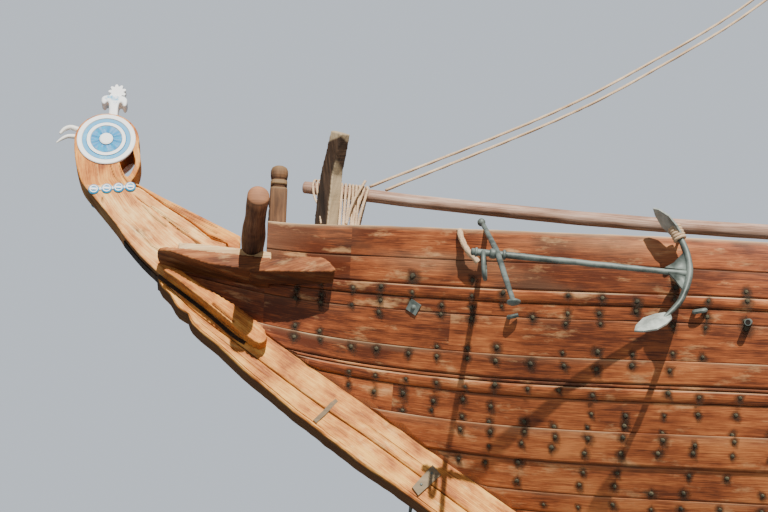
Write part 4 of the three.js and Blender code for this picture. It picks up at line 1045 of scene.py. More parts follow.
cheek = {
    "outline": [(-12.235, 5.108), (-12.15, 5.050), (-11.99, 4.925), (-11.83, 4.800), (-11.70, 4.695),
                (-11.58, 4.597),
                (-11.49, 4.520), (-11.42, 4.470), (-11.365, 4.462), (-11.325, 4.50), (-11.328, 4.56),
                (-11.38, 4.635),
                (-11.50, 4.735), (-11.62, 4.815), (-11.76, 4.900), (-12.01, 5.055), (-12.10, 5.12)],
    "inner": 0.115, "outer": 0.270,
}

def makeCheek(sideName, side):
    outline = smoothOutline(cheek["outline"], 2, closed=True)
    piece = carvedPiece(f"cheek_timber_{sideName}", prism(outline, side * cheek["inner"], side * cheek["outer"]),
                        [(-12.4, 5.25), (-11.9, 4.93), (-11.25, 4.44)], redTimber, voxel=0.009,
                        rounds=10, rough=0.004, under=0.5, tone=0.3,
                        chisel={"step": 0.05, "slant": 7.0, "deep": 0.0028, "start": (0.50, 0.85)},
                        cracks=[{"line": [(-11.79, 4.800), (-11.70, 4.727), (-11.61, 4.655)], "wide": (0.012,
                                                                                                       0.008),
                                 "deep": 0.03}])
    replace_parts(piece, f"cheek_log_{sideName}")

def makeBeam():
    # The cat beam: a worn log across the bow.
    route = [Vector((-11.47 + 0.012 * sin(y * 3.1), y, 5.255 + 0.010 * sin(y * 4.3)))
             for y in [-1.36 + 0.04 * k for k in range(69)]]
    radii = [0.094 * (1 - 0.10 * abs(p.y / 1.36) ** 6) + 0.004 * sin(p.y * 7) for p in route]
    part = sweep(route, radii, 24, dome=0.022)
    piece = sweptPiece("cat_log", [part], darkTimber, wobble=0.010, wobbleAcross=5.0, tone=0.5)
    ends = piece.data.attributes["grey"].data
    for vertex, value in zip(piece.data.vertices, ends):
        value.value = 0.8 * smoothStep(1.26, 1.37, abs(vertex.co.y)) + 0.3 * noise.noise(vertex.co * 14)
    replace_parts(piece, "cat_beam")

shelfTimber = timberMaterial("redShelfTimber", rgb(84, 44, 24), rgb(140, 80, 42), rgb(186, 124, 74), streak=20,
                             blotch=3.0, wear=rgb(222, 180, 124), wearAmount=0.48, wearScale=7, dirt=rgb(48, 28,
                                                                                                         18),
                             dirtAmount=0.3, rough=0.68, grey=rgb(170, 150, 120))
# Pale board colour: painted highlight for the shelf plank's sunlit top bevel.
paleBoard = timberMaterial("paleBoard", rgb(170, 130, 88), rgb(214, 178, 130), rgb(240, 214, 168), streak=12,
                           blotch=2.0,
                           wear=rgb(250, 232, 196), wearAmount=0.4, dirt=rgb(100, 70, 44), dirtAmount=0.2,
                           rough=0.75)
for sideName, side in sides:
    makeShelf(sideName, side)
    makeCheek(sideName, side)
makeBeam()
print("shelves, cheek timbers and beam built")

def paintMaterial(name, color, under, chips=0.25, scale=9.0, rough=0.5, speck=(0.05, 0.045, 0.04), speckAmount=0.1):
    material, tree, surface = newMaterial(name)
    vector = placeVector(tree, "object")
    worn = useGroup(tree, patchGroup, vector, Scale=scale, Stretch=1.0, Amount=chips)
    specks = useGroup(tree, patchGroup, vector, Scale=scale * 2.6, Stretch=1.0, Amount=speckAmount)
    shade = mixColor(tree, worn.outputs["Mask"], color, under)
    shade = mixColor(tree, times(tree, specks.outputs["Mask"], 0.8), shade, speck)
    link(tree, shade, surface.inputs["Base Color"])
    link(tree, plus(tree, times(tree, worn.outputs["Mask"], 0.3), rough, clamp=True),
         surface.inputs["Roughness"])
    bumpBy(tree, surface, worn.outputs["Mask"], 0.3, 0.004, invert=True)
    return material

whitePaint = paintMaterial("chalkyWhitePaint", rgb(244, 246, 246), rgb(214, 196, 170), chips=0.22, scale=11)
bluePaint = paintMaterial("midBluePaint", rgb(0, 134, 192), rgb(0, 172, 216), chips=0.52, scale=16,
                          speck=rgb(16, 44, 80), speckAmount=0.36)
paleBluePaint = paintMaterial("paleBluePaint", rgb(0, 150, 206), rgb(160, 228, 248), chips=0.48, scale=6)
groovePaint = paintMaterial("groovePaint", rgb(96, 128, 140), rgb(150, 130, 104), chips=0.45, scale=20)
crestPaint = paintMaterial("crestPaint", rgb(244, 247, 248), rgb(104, 186, 228), chips=0.50, scale=11)
ivoryPaint = paintMaterial("ivoryPaint", rgb(246, 244, 236), rgb(214, 190, 160), chips=0.25, scale=20)

def turnedMesh(profile, place, steps=32, wave=None):
    # Rings around an axis from (radius, height, material) rows; place turns radius, angle and height into a point.
    verts, faces, slots = [], [], []
    rings = []
    for radius, height, _ in profile:
        if radius < 1e-6:
            rings.append([len(verts)] * steps)
            verts.append(place(0, 0, height))
            continue
        ring = []
        for k in range(steps):
            angle = 2 * pi * k / steps
            ring.append(len(verts))
            verts.append(place(radius, angle, height + (wave(radius, angle) if wave else 0)))
        rings.append(ring)
    for i in range(len(rings) - 1):
        for k in range(steps):
            j = (k + 1) % steps
            corners = list(dict.fromkeys((rings[i][k], rings[i][j], rings[i + 1][j], rings[i + 1][k])))
            if len(corners) > 2:
                faces.append(corners)
                slots.append(profile[i + 1][2])
    return verts, faces, slots

discRings = {
    "centre": (-12.852, 6.460),
    "rings": [(0.0, 0.023, 0), (0.048, 0.022, 0), (0.060, 0.018, 0), (0.064, 0.009, 3), (0.068, 0.011, 1),
              (0.138, 0.011, 1), (0.141, 0.008, 3), (0.145, 0.015, 0), (0.174, 0.015, 0), (0.178, 0.008, 3),
              (0.182, 0.010, 2), (0.213, 0.010, 2), (0.216, 0.008, 3), (0.221, 0.015, 0), (0.256, 0.016, 0),
              (0.262, 0.012, 0), (0.263, -0.008, 0), (0.0, -0.008, 0)],
    "petals": 9,
}
rosette = {
    "centres": [(-12.912, 5.932), (-12.800, 5.948), (-12.697, 5.963), (-12.594, 5.979)],
    "rings": [(0.0, 0.010, 1), (0.026, 0.010, 1), (0.029, 0.018, 0), (0.037, 0.019, 0), (0.041, 0.014, 1),
              (0.047, 0.010, 1), (0.048, -0.006, 1), (0.0, -0.006, 1)],
    "bar": (0.026, 0.008, 0.020), "bead": 0.016,
}

def onHeadSide(side, cx, cz):
    # Turns a radius, an angle and a height around a centre on one side of the head into a point.
    return lambda radius, angle, height: (
        cx + radius * cos(angle), side * (head["thick"] / 2 + height), cz + radius * sin(angle))

def makeDisc(sideName, side):
    def wave(radius, angle):
        if 0.067 < radius < 0.139:
            return 0.003 * cos(discRings["petals"] * angle + 0.6 + 1.2 * sin(2 * angle))
        return 0.0
    verts, faces, slots = turnedMesh(discRings["rings"], onHeadSide(side, *discRings["centre"]), 72, wave)
    if side > 0:
        faces = [face[::-1] for face in faces]
    face = newPiece(f"painted_disc_{sideName}", verts, faces, [whitePaint, bluePaint, paleBluePaint, groovePaint],
                    slots=slots)
    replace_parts(face, f"head_disc_{sideName}")
    verts, faces, slots = [], [], []
    y0 = head["thick"] / 2

    def addPart(part):
        start = len(verts)
        verts.extend(part[0])
        faces.extend([[k + start for k in (f if side < 0 else f[::-1])] for f in part[1]])
        slots.extend(part[2])
    for cx, cz in rosette["centres"]:
        addPart(turnedMesh(rosette["rings"], onHeadSide(side, cx, cz), 20))
        long, high, out = rosette["bar"]
        box = [(cx + a * long, side * (y0 + b * out), cz + c * high) for b in (0, 1) for a, c in
               ((-1, -1), (1, -1), (1, 1), (-1, 1))]
        addPart((box, [[4, 5, 6, 7], [0, 1, 5, 4], [1, 2, 6, 5], [2, 3, 7, 6], [3, 0, 4, 7]], [0] * 5))
    for (ax, az), (bx, bz) in zip(rosette["centres"], rosette["centres"][1:]):
        bead, size = onHeadSide(side, (ax + bx) / 2, (az + bz) / 2), rosette["bead"]
        addPart(turnedMesh([(0.0, size, 0), (size * 0.8, size * 0.7, 0), (size, 0.0, 0)], bead, 12))
    row = newPiece(f"rosettes_{sideName}", verts, faces, [whitePaint, paleBluePaint], slots=slots)

crest = {
    "half": 0.062,
    "outline": [(-12.872, 6.690), (-12.868, 6.800), (-12.872, 6.862), (-12.878, 6.902), (-12.898, 6.922),
                (-12.908, 6.892),
                (-12.928, 6.886), (-12.946, 6.912), (-12.948, 6.950), (-12.930, 6.976), (-12.885, 6.988),
                (-12.780, 6.988), (-12.735, 6.978), (-12.714, 6.952), (-12.712, 6.905), (-12.724, 6.874),
                (-12.746, 6.878),
                (-12.756, 6.908), (-12.778, 6.912), (-12.788, 6.872), (-12.786, 6.800), (-12.780, 6.690)],
    "star": {"centre": (-12.812, 7.040), "outer": 0.080, "inner": 0.054, "points": 9, "half": 0.045},
}

def makeCrest():
    outline = smoothOutline(crest["outline"], 3)
    places, _, faces = softened(*prism(outline, -crest["half"], crest["half"]), 0.009, 2)
    piece = newPiece("crest_cap", [tuple(p) for p in places], faces, [crestPaint], smooth=True)
    star = crest["star"]
    outline = []
    for k in range(2 * star["points"]):
        angle = pi * k / star["points"] + 0.35
        radius = star["outer"] if k % 2 == 0 else star["inner"]
        for shift in ((-0.10, 0.10) if k % 2 == 0 else (0,)):
            outline.append((star["centre"][0] + radius * cos(angle + shift),
                            star["centre"][1] + radius * sin(angle + shift)))
    starPiece = newPiece("crest_star", *prism(outline, -star["half"], star["half"]), [whitePaint])
    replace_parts(piece, "crest")

horns = [
    {"name": "upper", "route": [(-13.03, 0, 6.605), (-13.10, 0, 6.620), (-13.147, 0, 6.629), (-13.204, 0, 6.644),
                                (-13.256, 0, 6.620), (-13.290, 0, 6.572)], "radii": [(0, 0.026), (0.5, 0.025),
                                                                                     (0.8, 0.020), (1, 0.012)]},
    {"name": "lower", "route": [(-13.03, 0, 6.535), (-13.10, 0, 6.545), (-13.161, 0, 6.548), (-13.221, 0, 6.545),
                                (-13.272, 0, 6.512), (-13.310, 0, 6.474)], "radii": [(0, 0.022), (0.5, 0.021),
                                                                                     (0.8, 0.015), (1, 0.006)]},
]

def makeHorns():
    for horn in horns:
        route = smoothLine(horn["route"], 4)
        part = sweep(route, taperOn(route, horn["radii"]), 14, up=(0, 1, 0), dome=0.006)
        piece = sweptPiece(f"horn_{horn['name']}", [part], ivoryPaint)
        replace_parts(piece, f"beak_{horn['name']}")

for sideName, side in sides:
    makeDisc(sideName, side)
makeCrest()
makeHorns()
print("head paint, crest and horns built")

# Turned posts, kevels and the stowed boom

posts = {
    "x": -11.275, "y": 0.262, "rows": [  # half width, height, squareness, grey
        (0.076, 5.40, 7, 0.1), (0.076, 5.50, 7, 0.1), (0.077, 5.75, 7, 0.1), (0.077, 5.925, 7, 0.2),
        (0.076, 5.945, 6, 0.9),
        (0.068, 5.953, 5, 0.9), (0.060, 5.957, 4, 0.0), (0.059, 5.980, 4, 0.0), (0.068, 5.985, 4, 0.8),
        (0.074, 5.992, 4, 1.0),
        (0.075, 6.022, 4, 1.0), (0.070, 6.030, 4, 0.9), (0.058, 6.033, 4, 0.0), (0.057, 6.052, 4, 0.0),
        (0.064, 6.060, 3.4, 0.1),
        (0.075, 6.082, 3, 0.2), (0.079, 6.110, 3, 0.3), (0.078, 6.140, 2.8, 0.6), (0.070, 6.165, 2.5, 0.9),
        (0.052, 6.182, 2.2, 1.0), (0.028, 6.190, 2, 1.0), (0.003, 6.192, 2, 1.0)],
}

def makePost(sideName, side):
    steps = 28
    verts, faces, uvs, greys, cavities = [], [], [], [], []
    for half, z, square, grey in posts["rows"]:
        for k in range(steps):
            angle = 2 * pi * (k + 0.5) / steps
            c, s = cos(angle), sin(angle)
            px = half * math.copysign(abs(c) ** (2 / square), c)
            py = half * math.copysign(abs(s) ** (2 / square), s)
            wear = 0.003 * ripple(px * 9, py * 9 + side, z * 5)
            split = 0.014 * max(0, 1 - abs(z - 5.80) / 0.09) * max(0, 1 - abs(k - 20) / 1.2) if z < 5.93 else 0
            verts.append((posts["x"] + px * (1 - split / 0.07) + wear,
                          side * posts["y"] + py * (1 - split / 0.07) + wear, z))
            uvs.append((z, k / steps * 0.6))
            greys.append(grey)
            # The turned grooves, the rows without grey, are darkened as painted shade; the split is a real crack.
            cavities.append(min(1.0, (0.75 if grey == 0.0 else 0.0) + split * 60))
    rows = len(posts["rows"])
    for i in range(rows - 1):
        for k in range(steps):
            j = (k + 1) % steps
            faces.append((i * steps + k, i * steps + j, (i + 1) * steps + j, (i + 1) * steps + k))
    faces.append(tuple(range(steps))[::-1])
    faces.append(tuple((rows - 1) * steps + k for k in range(steps)))
    piece = newPiece(f"bow_post_{sideName}", verts, faces, [postTimber])
    setUv(piece, [uvs[k] for face in faces for k in face])
    weatherAndShade(piece, [0.5] * len(verts), cavities, greys)
    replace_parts(piece, f"turned_post_{sideName}")

kevel = {"route": [(-10.872, 0.500, 5.25), (-10.852, 0.600, 5.65), (-10.835, 0.678, 5.90), (-10.812, 0.768, 6.02),
                   (-10.777, 0.905, 6.195)],
         "radii": [(0, 0.108), (0.5, 0.102), (0.7, 0.096), (1, 0.086)]}

def makeKevel(sideName, side):
    route = resample([Vector((x, side * y, z)) for x, y, z in kevel["route"]], 0.06)
    verts, faces, _ = sweep(route, taperOn(route, kevel["radii"]), 4, up=(0, 1, 0), turnAt=radians(side * 4))
    piece = carvedPiece(f"kevel_timber_{sideName}", (verts, faces), [(-10.9, 5.2), (-10.82, 5.9), (-10.74, 6.3)],
                        kevelTimber, voxel=0.010, rounds=2, rough=0.004, under=1.3, tone=0.4)
    # Pale grey on the lower outboard face and the up-facing top: painted highlight where the sun falls, with weathering
    # at the top end.
    greys = piece.data.attributes["grey"].data
    for vertex, value in zip(piece.data.vertices, greys):
        low = 1 - smoothStep(5.93, 5.99, vertex.co.z + 0.3 * (vertex.co.x + 10.83))
        outboardHighlight = smoothStep(0.2, 0.7, 0.64 * vertex.normal.x + 0.77 * side * vertex.normal.y)
        top = smoothStep(0.2, 0.7, vertex.normal.z) * smoothStep(6.1, 6.15, vertex.co.z)
        end = smoothStep(6.115, 6.135, vertex.co.z)
        value.value = min(1.0, low * outboardHighlight * 0.95 + top + end)
    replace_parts(piece, f"kevel_{sideName}")

boom = {"route": [(-11.05, -0.425, 5.905), (-10.51, -0.614, 5.750), (-9.911, -0.83, 5.585), (-8.924, -1.185, 5.328),
                  (-7.785, -1.595, 5.067), (-6.0, -2.24, 4.69), (-4.4, -2.815, 4.37)],
        "radii": [(0, 0.053), (0.05, 0.056), (1, 0.064)]}

def makeBoom():
    route = resample(smoothLine(boom["route"], 4), 0.06)
    radii = [r * (1 + 0.03 * noise.noise(p * 0.9)) for r, p in zip(taperOn(route, boom["radii"]), route)]
    piece = sweptPiece("jib_boom_spar", [sweep(route, radii, 20, dome=0.012)], sparTimber,
                       wobble=0.004,
                       wobbleAcross=3.0)
    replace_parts(piece, "jib_boom")

postTimber = timberMaterial("postTimber", rgb(48, 29, 17), rgb(84, 54, 33), rgb(120, 82, 52), streak=18, blotch=3,
                            wear=rgb(144, 108, 76), wearAmount=0.4, wearScale=7, dirt=rgb(44, 28, 18),
                            dirtAmount=0.3,
                            rough=0.72, grey=rgb(134, 108, 76))
kevelTimber = timberMaterial("kevelTimber", rgb(30, 22, 16), rgb(58, 42, 30), rgb(92, 70, 52), streak=20, blotch=3,
                             wear=rgb(110, 88, 68), wearAmount=0.3, wearScale=7, dirt=rgb(22, 16, 12),
                             dirtAmount=0.4,
                             rough=0.75, grey=rgb(180, 160, 128))
sparTimber = timberMaterial("greySpar", rgb(120, 84, 66), rgb(172, 138, 118), rgb(210, 182, 164), streak=14,
                            blotch=2.0,
                            wear=rgb(228, 208, 194), wearAmount=0.38, wearScale=4, dirt=rgb(74, 52, 42),
                            dirtAmount=0.26,
                            rough=0.66)
for sideName, side in sides:
    makePost(sideName, side)
    makeKevel(sideName, side)
makeBoom()
print("posts, kevels and boom built")

# Ropes: three strands laid up, with the lay showing as lobes in the outline.

def ropeMaterialOf(name, dark, light):
    material, tree, surface = newMaterial(name)
    vector = placeVector(tree)
    fine = noiseOn(tree, vector, Scale=70.0, Detail=4.0, Roughness=0.7)
    broad = noiseOn(tree, vector, Scale=3.0, Detail=3.0)
    mixed = plus(tree, times(tree, fine, 0.6), times(tree, broad, 0.4))
    color = ramp(tree, mixed, [(0.32, dark), (0.62, light)])
    link(tree, mixColor(tree, attribute(tree, "cavity"), color, (0.07, 0.05, 0.035)), surface.inputs["Base Color"])
    surface.inputs["Roughness"].default_value = 0.95
    surface.inputs["Specular IOR Level"].default_value = 0.15
    bumpBy(tree, surface, fine, 0.5, 0.003)
    return material

ropeMaterial = ropeMaterialOf("paleRope", rgb(150, 116, 84), rgb(232, 206, 172))
darkRope = ropeMaterialOf("tarredRope", rgb(60, 44, 32), rgb(120, 94, 70))

def laidRope(route, radius, spacing=0.02, sideCount=9, pitch=0.09):
    path = resample(route, spacing)
    return sweep(path, [radius] * len(path), sideCount, lobes={"deep": 0.14, "pitch": pitch})

# The fore tackle: two slack falls and the turns that make them fast around the boom and the port timberhead.
fallShares = [(0, 0), (0.168, 0.735), (0.275, 1.094), (0.409, 1.405), (0.58, 1.460), (0.78, 1.050), (1, 0)]
fallFeet = [(-10.49, -0.60, 5.85), (-10.357, -0.64, 5.80)]
mainMast = {"x": 1.3, "z": 2.5, "length": 13.9, "rake": 9.0, "foot": 0.235, "head": 0.12}
mizzenMast = {"x": 8.3, "z": 4.0, "length": 8.9, "rake": 3.0, "foot": 0.15, "head": 0.085}

def onMast(mast, height):
    lean = radians(mast["rake"])
    return Vector((mast["x"] - height * sin(lean), 0, mast["z"] + height * cos(lean)))

def mastRadius(mast, height):
    return mast["foot"] + (mast["head"] - mast["foot"]) * height / mast["length"]

turns = {
    "tops": [-10.735, -10.702, -10.668, -10.640, -10.612, -10.585, -10.552, -10.520],
    "feet": [-10.757, -10.722, -10.700, -10.655, -10.640, -10.618, -10.655, -10.600],
    "radius": 0.0135, "boomRadius": 0.058,
}

def boomAt(x):
    rows = boom["route"]
    for a, b in zip(rows, rows[1:]):
        if x <= b[0]:
            t = (x - a[0]) / (b[0] - a[0])
            return Vector(a).lerp(Vector(b), t)
    return Vector(rows[-1])

def makeForeTackle():
    parts = []
    headPlace = onMast(mainMast, 13.3)
    for i, foot in enumerate(fallFeet):
        top = Vector((headPlace.x - 0.14 + 0.04 * i, 0.07 + 0.05 * i, headPlace.z))
        route = [Vector(foot).lerp(top, share) - Vector((0, 0, sag)) for share, sag in fallShares]
        parts.append(laidRope(smoothLine(route, 10), 0.0145, 0.035, pitch=0.12))
    for i, (top, foot) in enumerate(zip(turns["tops"], turns["feet"])):
        c = boomAt(top)
        reach = turns["boomRadius"] + turns["radius"]
        route = [Vector((foot + 0.02, -0.50, 5.20)), Vector((foot + 0.01, -0.50, 5.40)),
                 Vector((top, c.y + reach, c.z))]
        route += [Vector((top, c.y + reach * cos(a), c.z + reach * sin(a)))
                  for a in (pi * k / 6 for k in range(1, 6))]
        route += [Vector((top, c.y - reach, c.z)), Vector(((top + foot) / 2, c.y - reach + 0.015 * sin(i * 2.3),
                                                           5.60)),
                  Vector((foot, -0.64, 5.40)), Vector((foot, -0.62, 5.22))]
        parts.append(laidRope(smoothLine(route, 4), turns["radius"], 0.014, pitch=0.07))
    crossing = [(-10.54, -0.70, 5.845), (-10.60, -0.72, 5.72), (-10.66, -0.715, 5.58), (-10.70, -0.68, 5.42)]
    parts.append(laidRope(smoothLine(crossing, 5), turns["radius"], 0.014, pitch=0.07))
    for shift in (0.0, 0.035):
        loop = [(-10.90 + shift, -0.37, 5.86), (-10.95 + shift, -0.47, 5.955), (-10.985 + shift, -0.56, 5.86),
                (-10.97 + shift, -0.58, 5.72), (-10.93 + shift, -0.60, 5.62), (-10.91 + shift, -0.61, 5.45)]
        parts.append(laidRope(smoothLine(loop, 5), 0.011, 0.014, pitch=0.07))
    seizing = mastRadius(mainMast, 13.3) + 0.016
    for k in range(7):
        centre = onMast(mainMast, 13.24 + 0.022 * k)
        ring = [centre + Vector((seizing * cos(a), seizing * sin(a), -0.16 * seizing * cos(a)))
                for a in (2 * pi * n / 24 for n in range(25))]
        parts.append(sweep(ring, [0.012] * 25, 8))
    piece = sweptPiece("fore_tackle_ropes", parts, ropeMaterial)
    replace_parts(piece, "fore_tackle")

makeForeTackle()
print("fore tackle built")

# Anchors

anchor = {
    "ringEnd": (-9.862, -1.944, 4.563), "crown": (-8.318, -2.150, 4.367),
    "stock": [(-9.617, -1.12, 5.268), (-9.627, -1.25, 5.170), (-9.677, -1.95, 4.573), (-9.729, -2.65, 3.83)],
    "arm": [(-8.412, -2.15, 4.790), (-8.345, -2.15, 4.700), (-8.312, -2.15, 4.620), (-8.288, -2.15, 4.505),
            (-8.290, -2.15, 4.367), (-8.337, -2.15, 4.230), (-8.403, -2.15, 4.113), (-8.560, -2.15, 3.960)],
    "armRadii": [(0, 0.014), (0.2, 0.030), (0.5, 0.040), (0.8, 0.030), (1, 0.014)],
    "palm": [(-0.175, 0.0), (-0.13, 0.045), (-0.04, 0.085), (0.05, 0.075), (0.12, 0.045), (0.14, 0.0),
             (0.12, -0.045),
             (0.05, -0.075), (-0.04, -0.085), (-0.13, -0.045)],
    "palms": [{"x": -8.400, "z": 4.768, "turn": 52.0, "roll": 0.0}, {"x": -8.590, "z": 3.965, "turn": -27.0,
                                                                     "roll": -55.0}],
    "gussets": [[(-8.300, 4.395), (-8.470, 4.405), (-8.400, 4.450), (-8.318, 4.540)],
                [(-8.300, 4.345), (-8.450, 4.365), (-8.400, 4.300), (-8.340, 4.205)]],
}

def flatUvs(faces):
    return [(0.0, 0.0)] * sum(len(face) for face in faces)

def makeAnchor(sideName, side):
    def mirrored(p):
        return Vector((p[0], -side * p[1], p[2]))
    ringEnd, crown = mirrored(anchor["ringEnd"]), mirrored(anchor["crown"])
    route = resample([ringEnd, crown], 0.05)
    parts = [sweep(route, taperOn(route, [(0, 0.027), (0.1, 0.026), (0.9, 0.021), (1, 0.026)]), 12, dome=0.012)]
    axis = (crown - ringEnd).normalized()
    for start, long, radius in ((0.02, 0.02, 0.036), (0.13, 0.05, 0.040), (0.225, 0.025, 0.038)):
        a = ringEnd + axis * start
        parts.append(sweep([a, a + axis * long * 0.25, a + axis * long * 0.75, a + axis * long],
                           [radius * 0.85, radius, radius, radius * 0.85], 14))
    stock = [mirrored(p) for p in anchor["stock"]]
    stockRoute = resample(stock, 0.06)
    parts.append(sweep(stockRoute, taperOn(stockRoute, [(0, 0.018), (0.45, 0.023), (0.6, 0.023), (1, 0.018)]), 10))
    for centre, radius, flat in ((stock[0], 0.034, 1.0), (stock[-1], 0.048, 0.40)):
        parts.append(sweep([centre + Vector((0, 0, radius * flat * cos(pi * k / 8))) for k in range(9)],
                           [max(radius * sin(pi * k / 8), 0.004) for k in range(9)], 14, up=(0, 1, 0)))
    arm = smoothLine([mirrored(p) for p in anchor["arm"]], 4)
    parts.append(sweep(arm, taperOn(arm, anchor["armRadii"]), 12, stretch=(0.75, 1.0), up=(0, 1, 0), dome=0.01))
    hang = ringEnd + axis * 0.085 + Vector((0, 0, -0.105))
    ring = [hang + Vector((0.02 * cos(a), 0.075 * cos(a), 0.105 * sin(a)))
            for a in (2 * pi * n / 32 for n in range(33))]
    parts.append(sweep(ring, [0.018] * 33, 9))
    for outline in anchor["gussets"]:
        verts, faces = prism(outline, -side * -2.158, -side * -2.142)
        parts.append(([Vector(v) for v in verts], faces, flatUvs(faces)))
    piece = sweptPiece(f"anchor_iron_{sideName}", parts, ironMaterial, wobble=0.003, wobbleAcross=9.0)
    palmParts = []
    for palm in anchor["palms"]:
        turn, roll = radians(palm["turn"]), radians(palm["roll"])
        length = Vector((cos(turn), 0, -sin(turn)))
        normal = Vector((sin(turn), 0, cos(turn)))
        wide = Vector((0, -1, 0)) * cos(roll) + normal * sin(roll)
        normal = normal * cos(roll) + Vector((0, 1, 0)) * sin(roll)
        centre = Vector((palm["x"], -2.15, palm["z"]))
        count = len(anchor["palm"])
        rows = [centre + length * a + wide * b + normal * level for level in (-0.007,
                                                                              0.007) for a, b in anchor["palm"]]
        rows += [centre + normal * level for level in (-0.012, 0.026)]
        rows = [Vector((p.x, -side * p.y, p.z)) for p in rows]
        palmFaces = []
        for k in range(count):
            j = (k + 1) % count
            palmFaces += [(k, j, 2 * count), (j + count, k + count, 2 * count + 1), (j, k, k + count, j + count)]
        palmParts.append((rows, palmFaces, flatUvs(palmFaces)))
    sweptPiece(f"anchor_palms_{sideName}", palmParts, palmIronHighlight, smooth=False)
    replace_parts(piece, f"anchor_{sideName}")

def ironMaterialOf(name, dark, light, rust, metallic=0.25, rough=0.0):
    material, tree, surface = newMaterial(name)
    vector = placeVector(tree, "object")
    broad = noiseOn(tree, vector, Scale=7.0, Detail=8.0, Roughness=0.65)
    color = ramp(tree, broad, [(0.35, dark), (0.62, light)])
    rusty = useGroup(tree, patchGroup, vector, Scale=12.0, Stretch=1.0, Amount=0.25)
    link(tree, mixColor(tree, rusty.outputs["Mask"], color, rust), surface.inputs["Base Color"])
    link(tree, plus(tree, times(tree, broad, 0.5), 0.3 + rough, clamp=True),
         surface.inputs["Roughness"])
    surface.inputs["Metallic"].default_value = metallic
    bumpBy(tree, surface, broad, 0.35, 0.003)
    return material

ironMaterial = ironMaterialOf("greenGreyIron", rgb(58, 66, 62), rgb(120, 130, 124), rgb(92, 66, 48))
# The palms get a paler copy of the anchor iron: painted highlight for palm faces that turn to the sun.
palmIronHighlight = ironMaterialOf("paleGreyIron", rgb(112, 120, 114), rgb(186, 192, 184), rgb(96, 84, 70))
nailMaterial = ironMaterialOf("nailIron", rgb(40, 36, 28), rgb(98, 90, 68), rgb(56, 38, 26), metallic=0.0,
                              rough=0.35)
for sideName, side in sides:
    makeAnchor(sideName, side)
print("anchors built")

# Nail heads in the planking, each in a dark stain.

def stainMaterialOf():
    material, tree, surface = newMaterial("nailStain")
    vector = placeVector(tree, "object")
    broad = noiseOn(tree, vector, Scale=34.0, Detail=6.0, Roughness=0.75)
    surface.inputs["Base Color"].default_value = (*rgb(54, 44, 30), 1)
    surface.inputs["Roughness"].default_value = 0.8
    strength = times(tree, attribute(tree, "cavity"), times(tree, broad, 1.9))
    link(tree, times(tree, strength, 0.95, clamp=True), surface.inputs["Alpha"])
    return material

stainMaterial = stainMaterialOf()
nails = {
    "first": -11.10, "last": 11.6, "spacing": 0.232, "jitter": 0.022,
    "rows": [0.372, 0.468, 0.552, 0.615, 0.818, 0.905, 1.068, 1.178, 1.272, 1.345, 1.425, 1.535, 1.640, 1.750,
             1.865,
             1.965, 2.085, 2.190, 2.300, 2.420, 2.530, 2.640, 2.760, 2.880, 3.000, 3.130, 3.260, 3.400],
    "head": 0.0165, "high": 0.008, "stain": 0.052, "lowest": -0.25,
}

def proudAt(depth):
    for top, bottom, proud, rounded in strakes:
        if top - 0.004 <= depth <= bottom + 0.004:
            return proud * 0.97 if rounded else proud
    return -0.006

def hullNormal(x, z, side):
    p = onHull(x, z, side)
    normal = (onHull(x + 0.04, z, side) - p).cross(onHull(x, z + 0.04, side) - p).normalized()
    return normal if normal.y * side > 0 else -normal

def makeNails(sideName, side):
    verts, faces, slots, shades = [], [], [], []
    count = round((nails["last"] - nails["first"]) / nails["spacing"])
    for i in range(count):
        column = nails["first"] + nails["spacing"] * (i + 0.16 * (scatter(i, side, 1) - 0.5))
        for j, row in enumerate(nails["rows"]):
            chance = scatter(i, j, side, 9)
            if chance < (0.62 if j == 0 else 0.17):
                continue
            x = column + nails["jitter"] * (scatter(i, j, side, 2) - 0.5)
            depth = row + 0.040 * (scatter(i, j, side, 5) - 0.5)
            line = lineAt(x)
            z = line["rail"] - depth
            if z < max(nails["lowest"], line["base"] + 0.06):
                continue
            normal = hullNormal(x, z, side)
            centre = Vector((x + line["rake"] * z, side * (halfAt(line, z) + proudAt(depth)), z)) + normal * 0.001
            right = Vector((0, 0, 1)).cross(normal).normalized()
            up = normal.cross(right)
            size = (0.8 + 0.5 * scatter(i, j, side, 7)) * (1.25 if j == 0 else 1)
            turn = 6.28 * scatter(i, j, side, 8)
            start = len(verts)
            verts.append(centre + normal * nails["high"] * size)
            shades.append(0)
            for radius, lift in ((0.62, 0.85), (1.0, 0.0)):
                for k in range(6):
                    a = turn + pi * k / 3
                    wide = nails["head"] * size * radius * (0.88 + 0.24 * scatter(i, j, k, 3))
                    verts.append(centre + right * wide * cos(a) + up * wide * sin(a)
                                 + normal * nails["high"] * size * lift)
                    shades.append(0)
            for k in range(6):
                m = (k + 1) % 6
                faces += [(start, start + 1 + k, start + 1 + m), (start + 1 + k, start + 7 + k, start + 7 + m,
                                                                  start + 1 + m)]
                slots += [0, 0]
            stain = len(verts)
            verts.append(centre + normal * 0.0015)
            shades.append(1.0)
            for k in range(8):
                a = pi * k / 4 + 0.3
                wide = nails["stain"] * size * (0.7 + 0.6 * scatter(i, j, k, 6))
                drop = 1.5 if sin(a) < -0.5 else 1.0
                verts.append(centre + right * wide * cos(a) + up * wide * sin(a) * drop + normal * 0.0025)
                shades.append(0.0)
            for k in range(8):
                faces.append((stain, stain + 1 + k, stain + 1 + (k + 1) % 8))
                slots.append(1)
    piece = newPiece(f"nail_heads_{sideName}", verts, faces, [nailMaterial, stainMaterial], slots=slots)
    setAttribute(piece, "cavity", shades)

for sideName, side in sides:
    makeNails(sideName, side)
print("nails built")

# Sawn timber: many planks or boards with bevelled edges make one piece

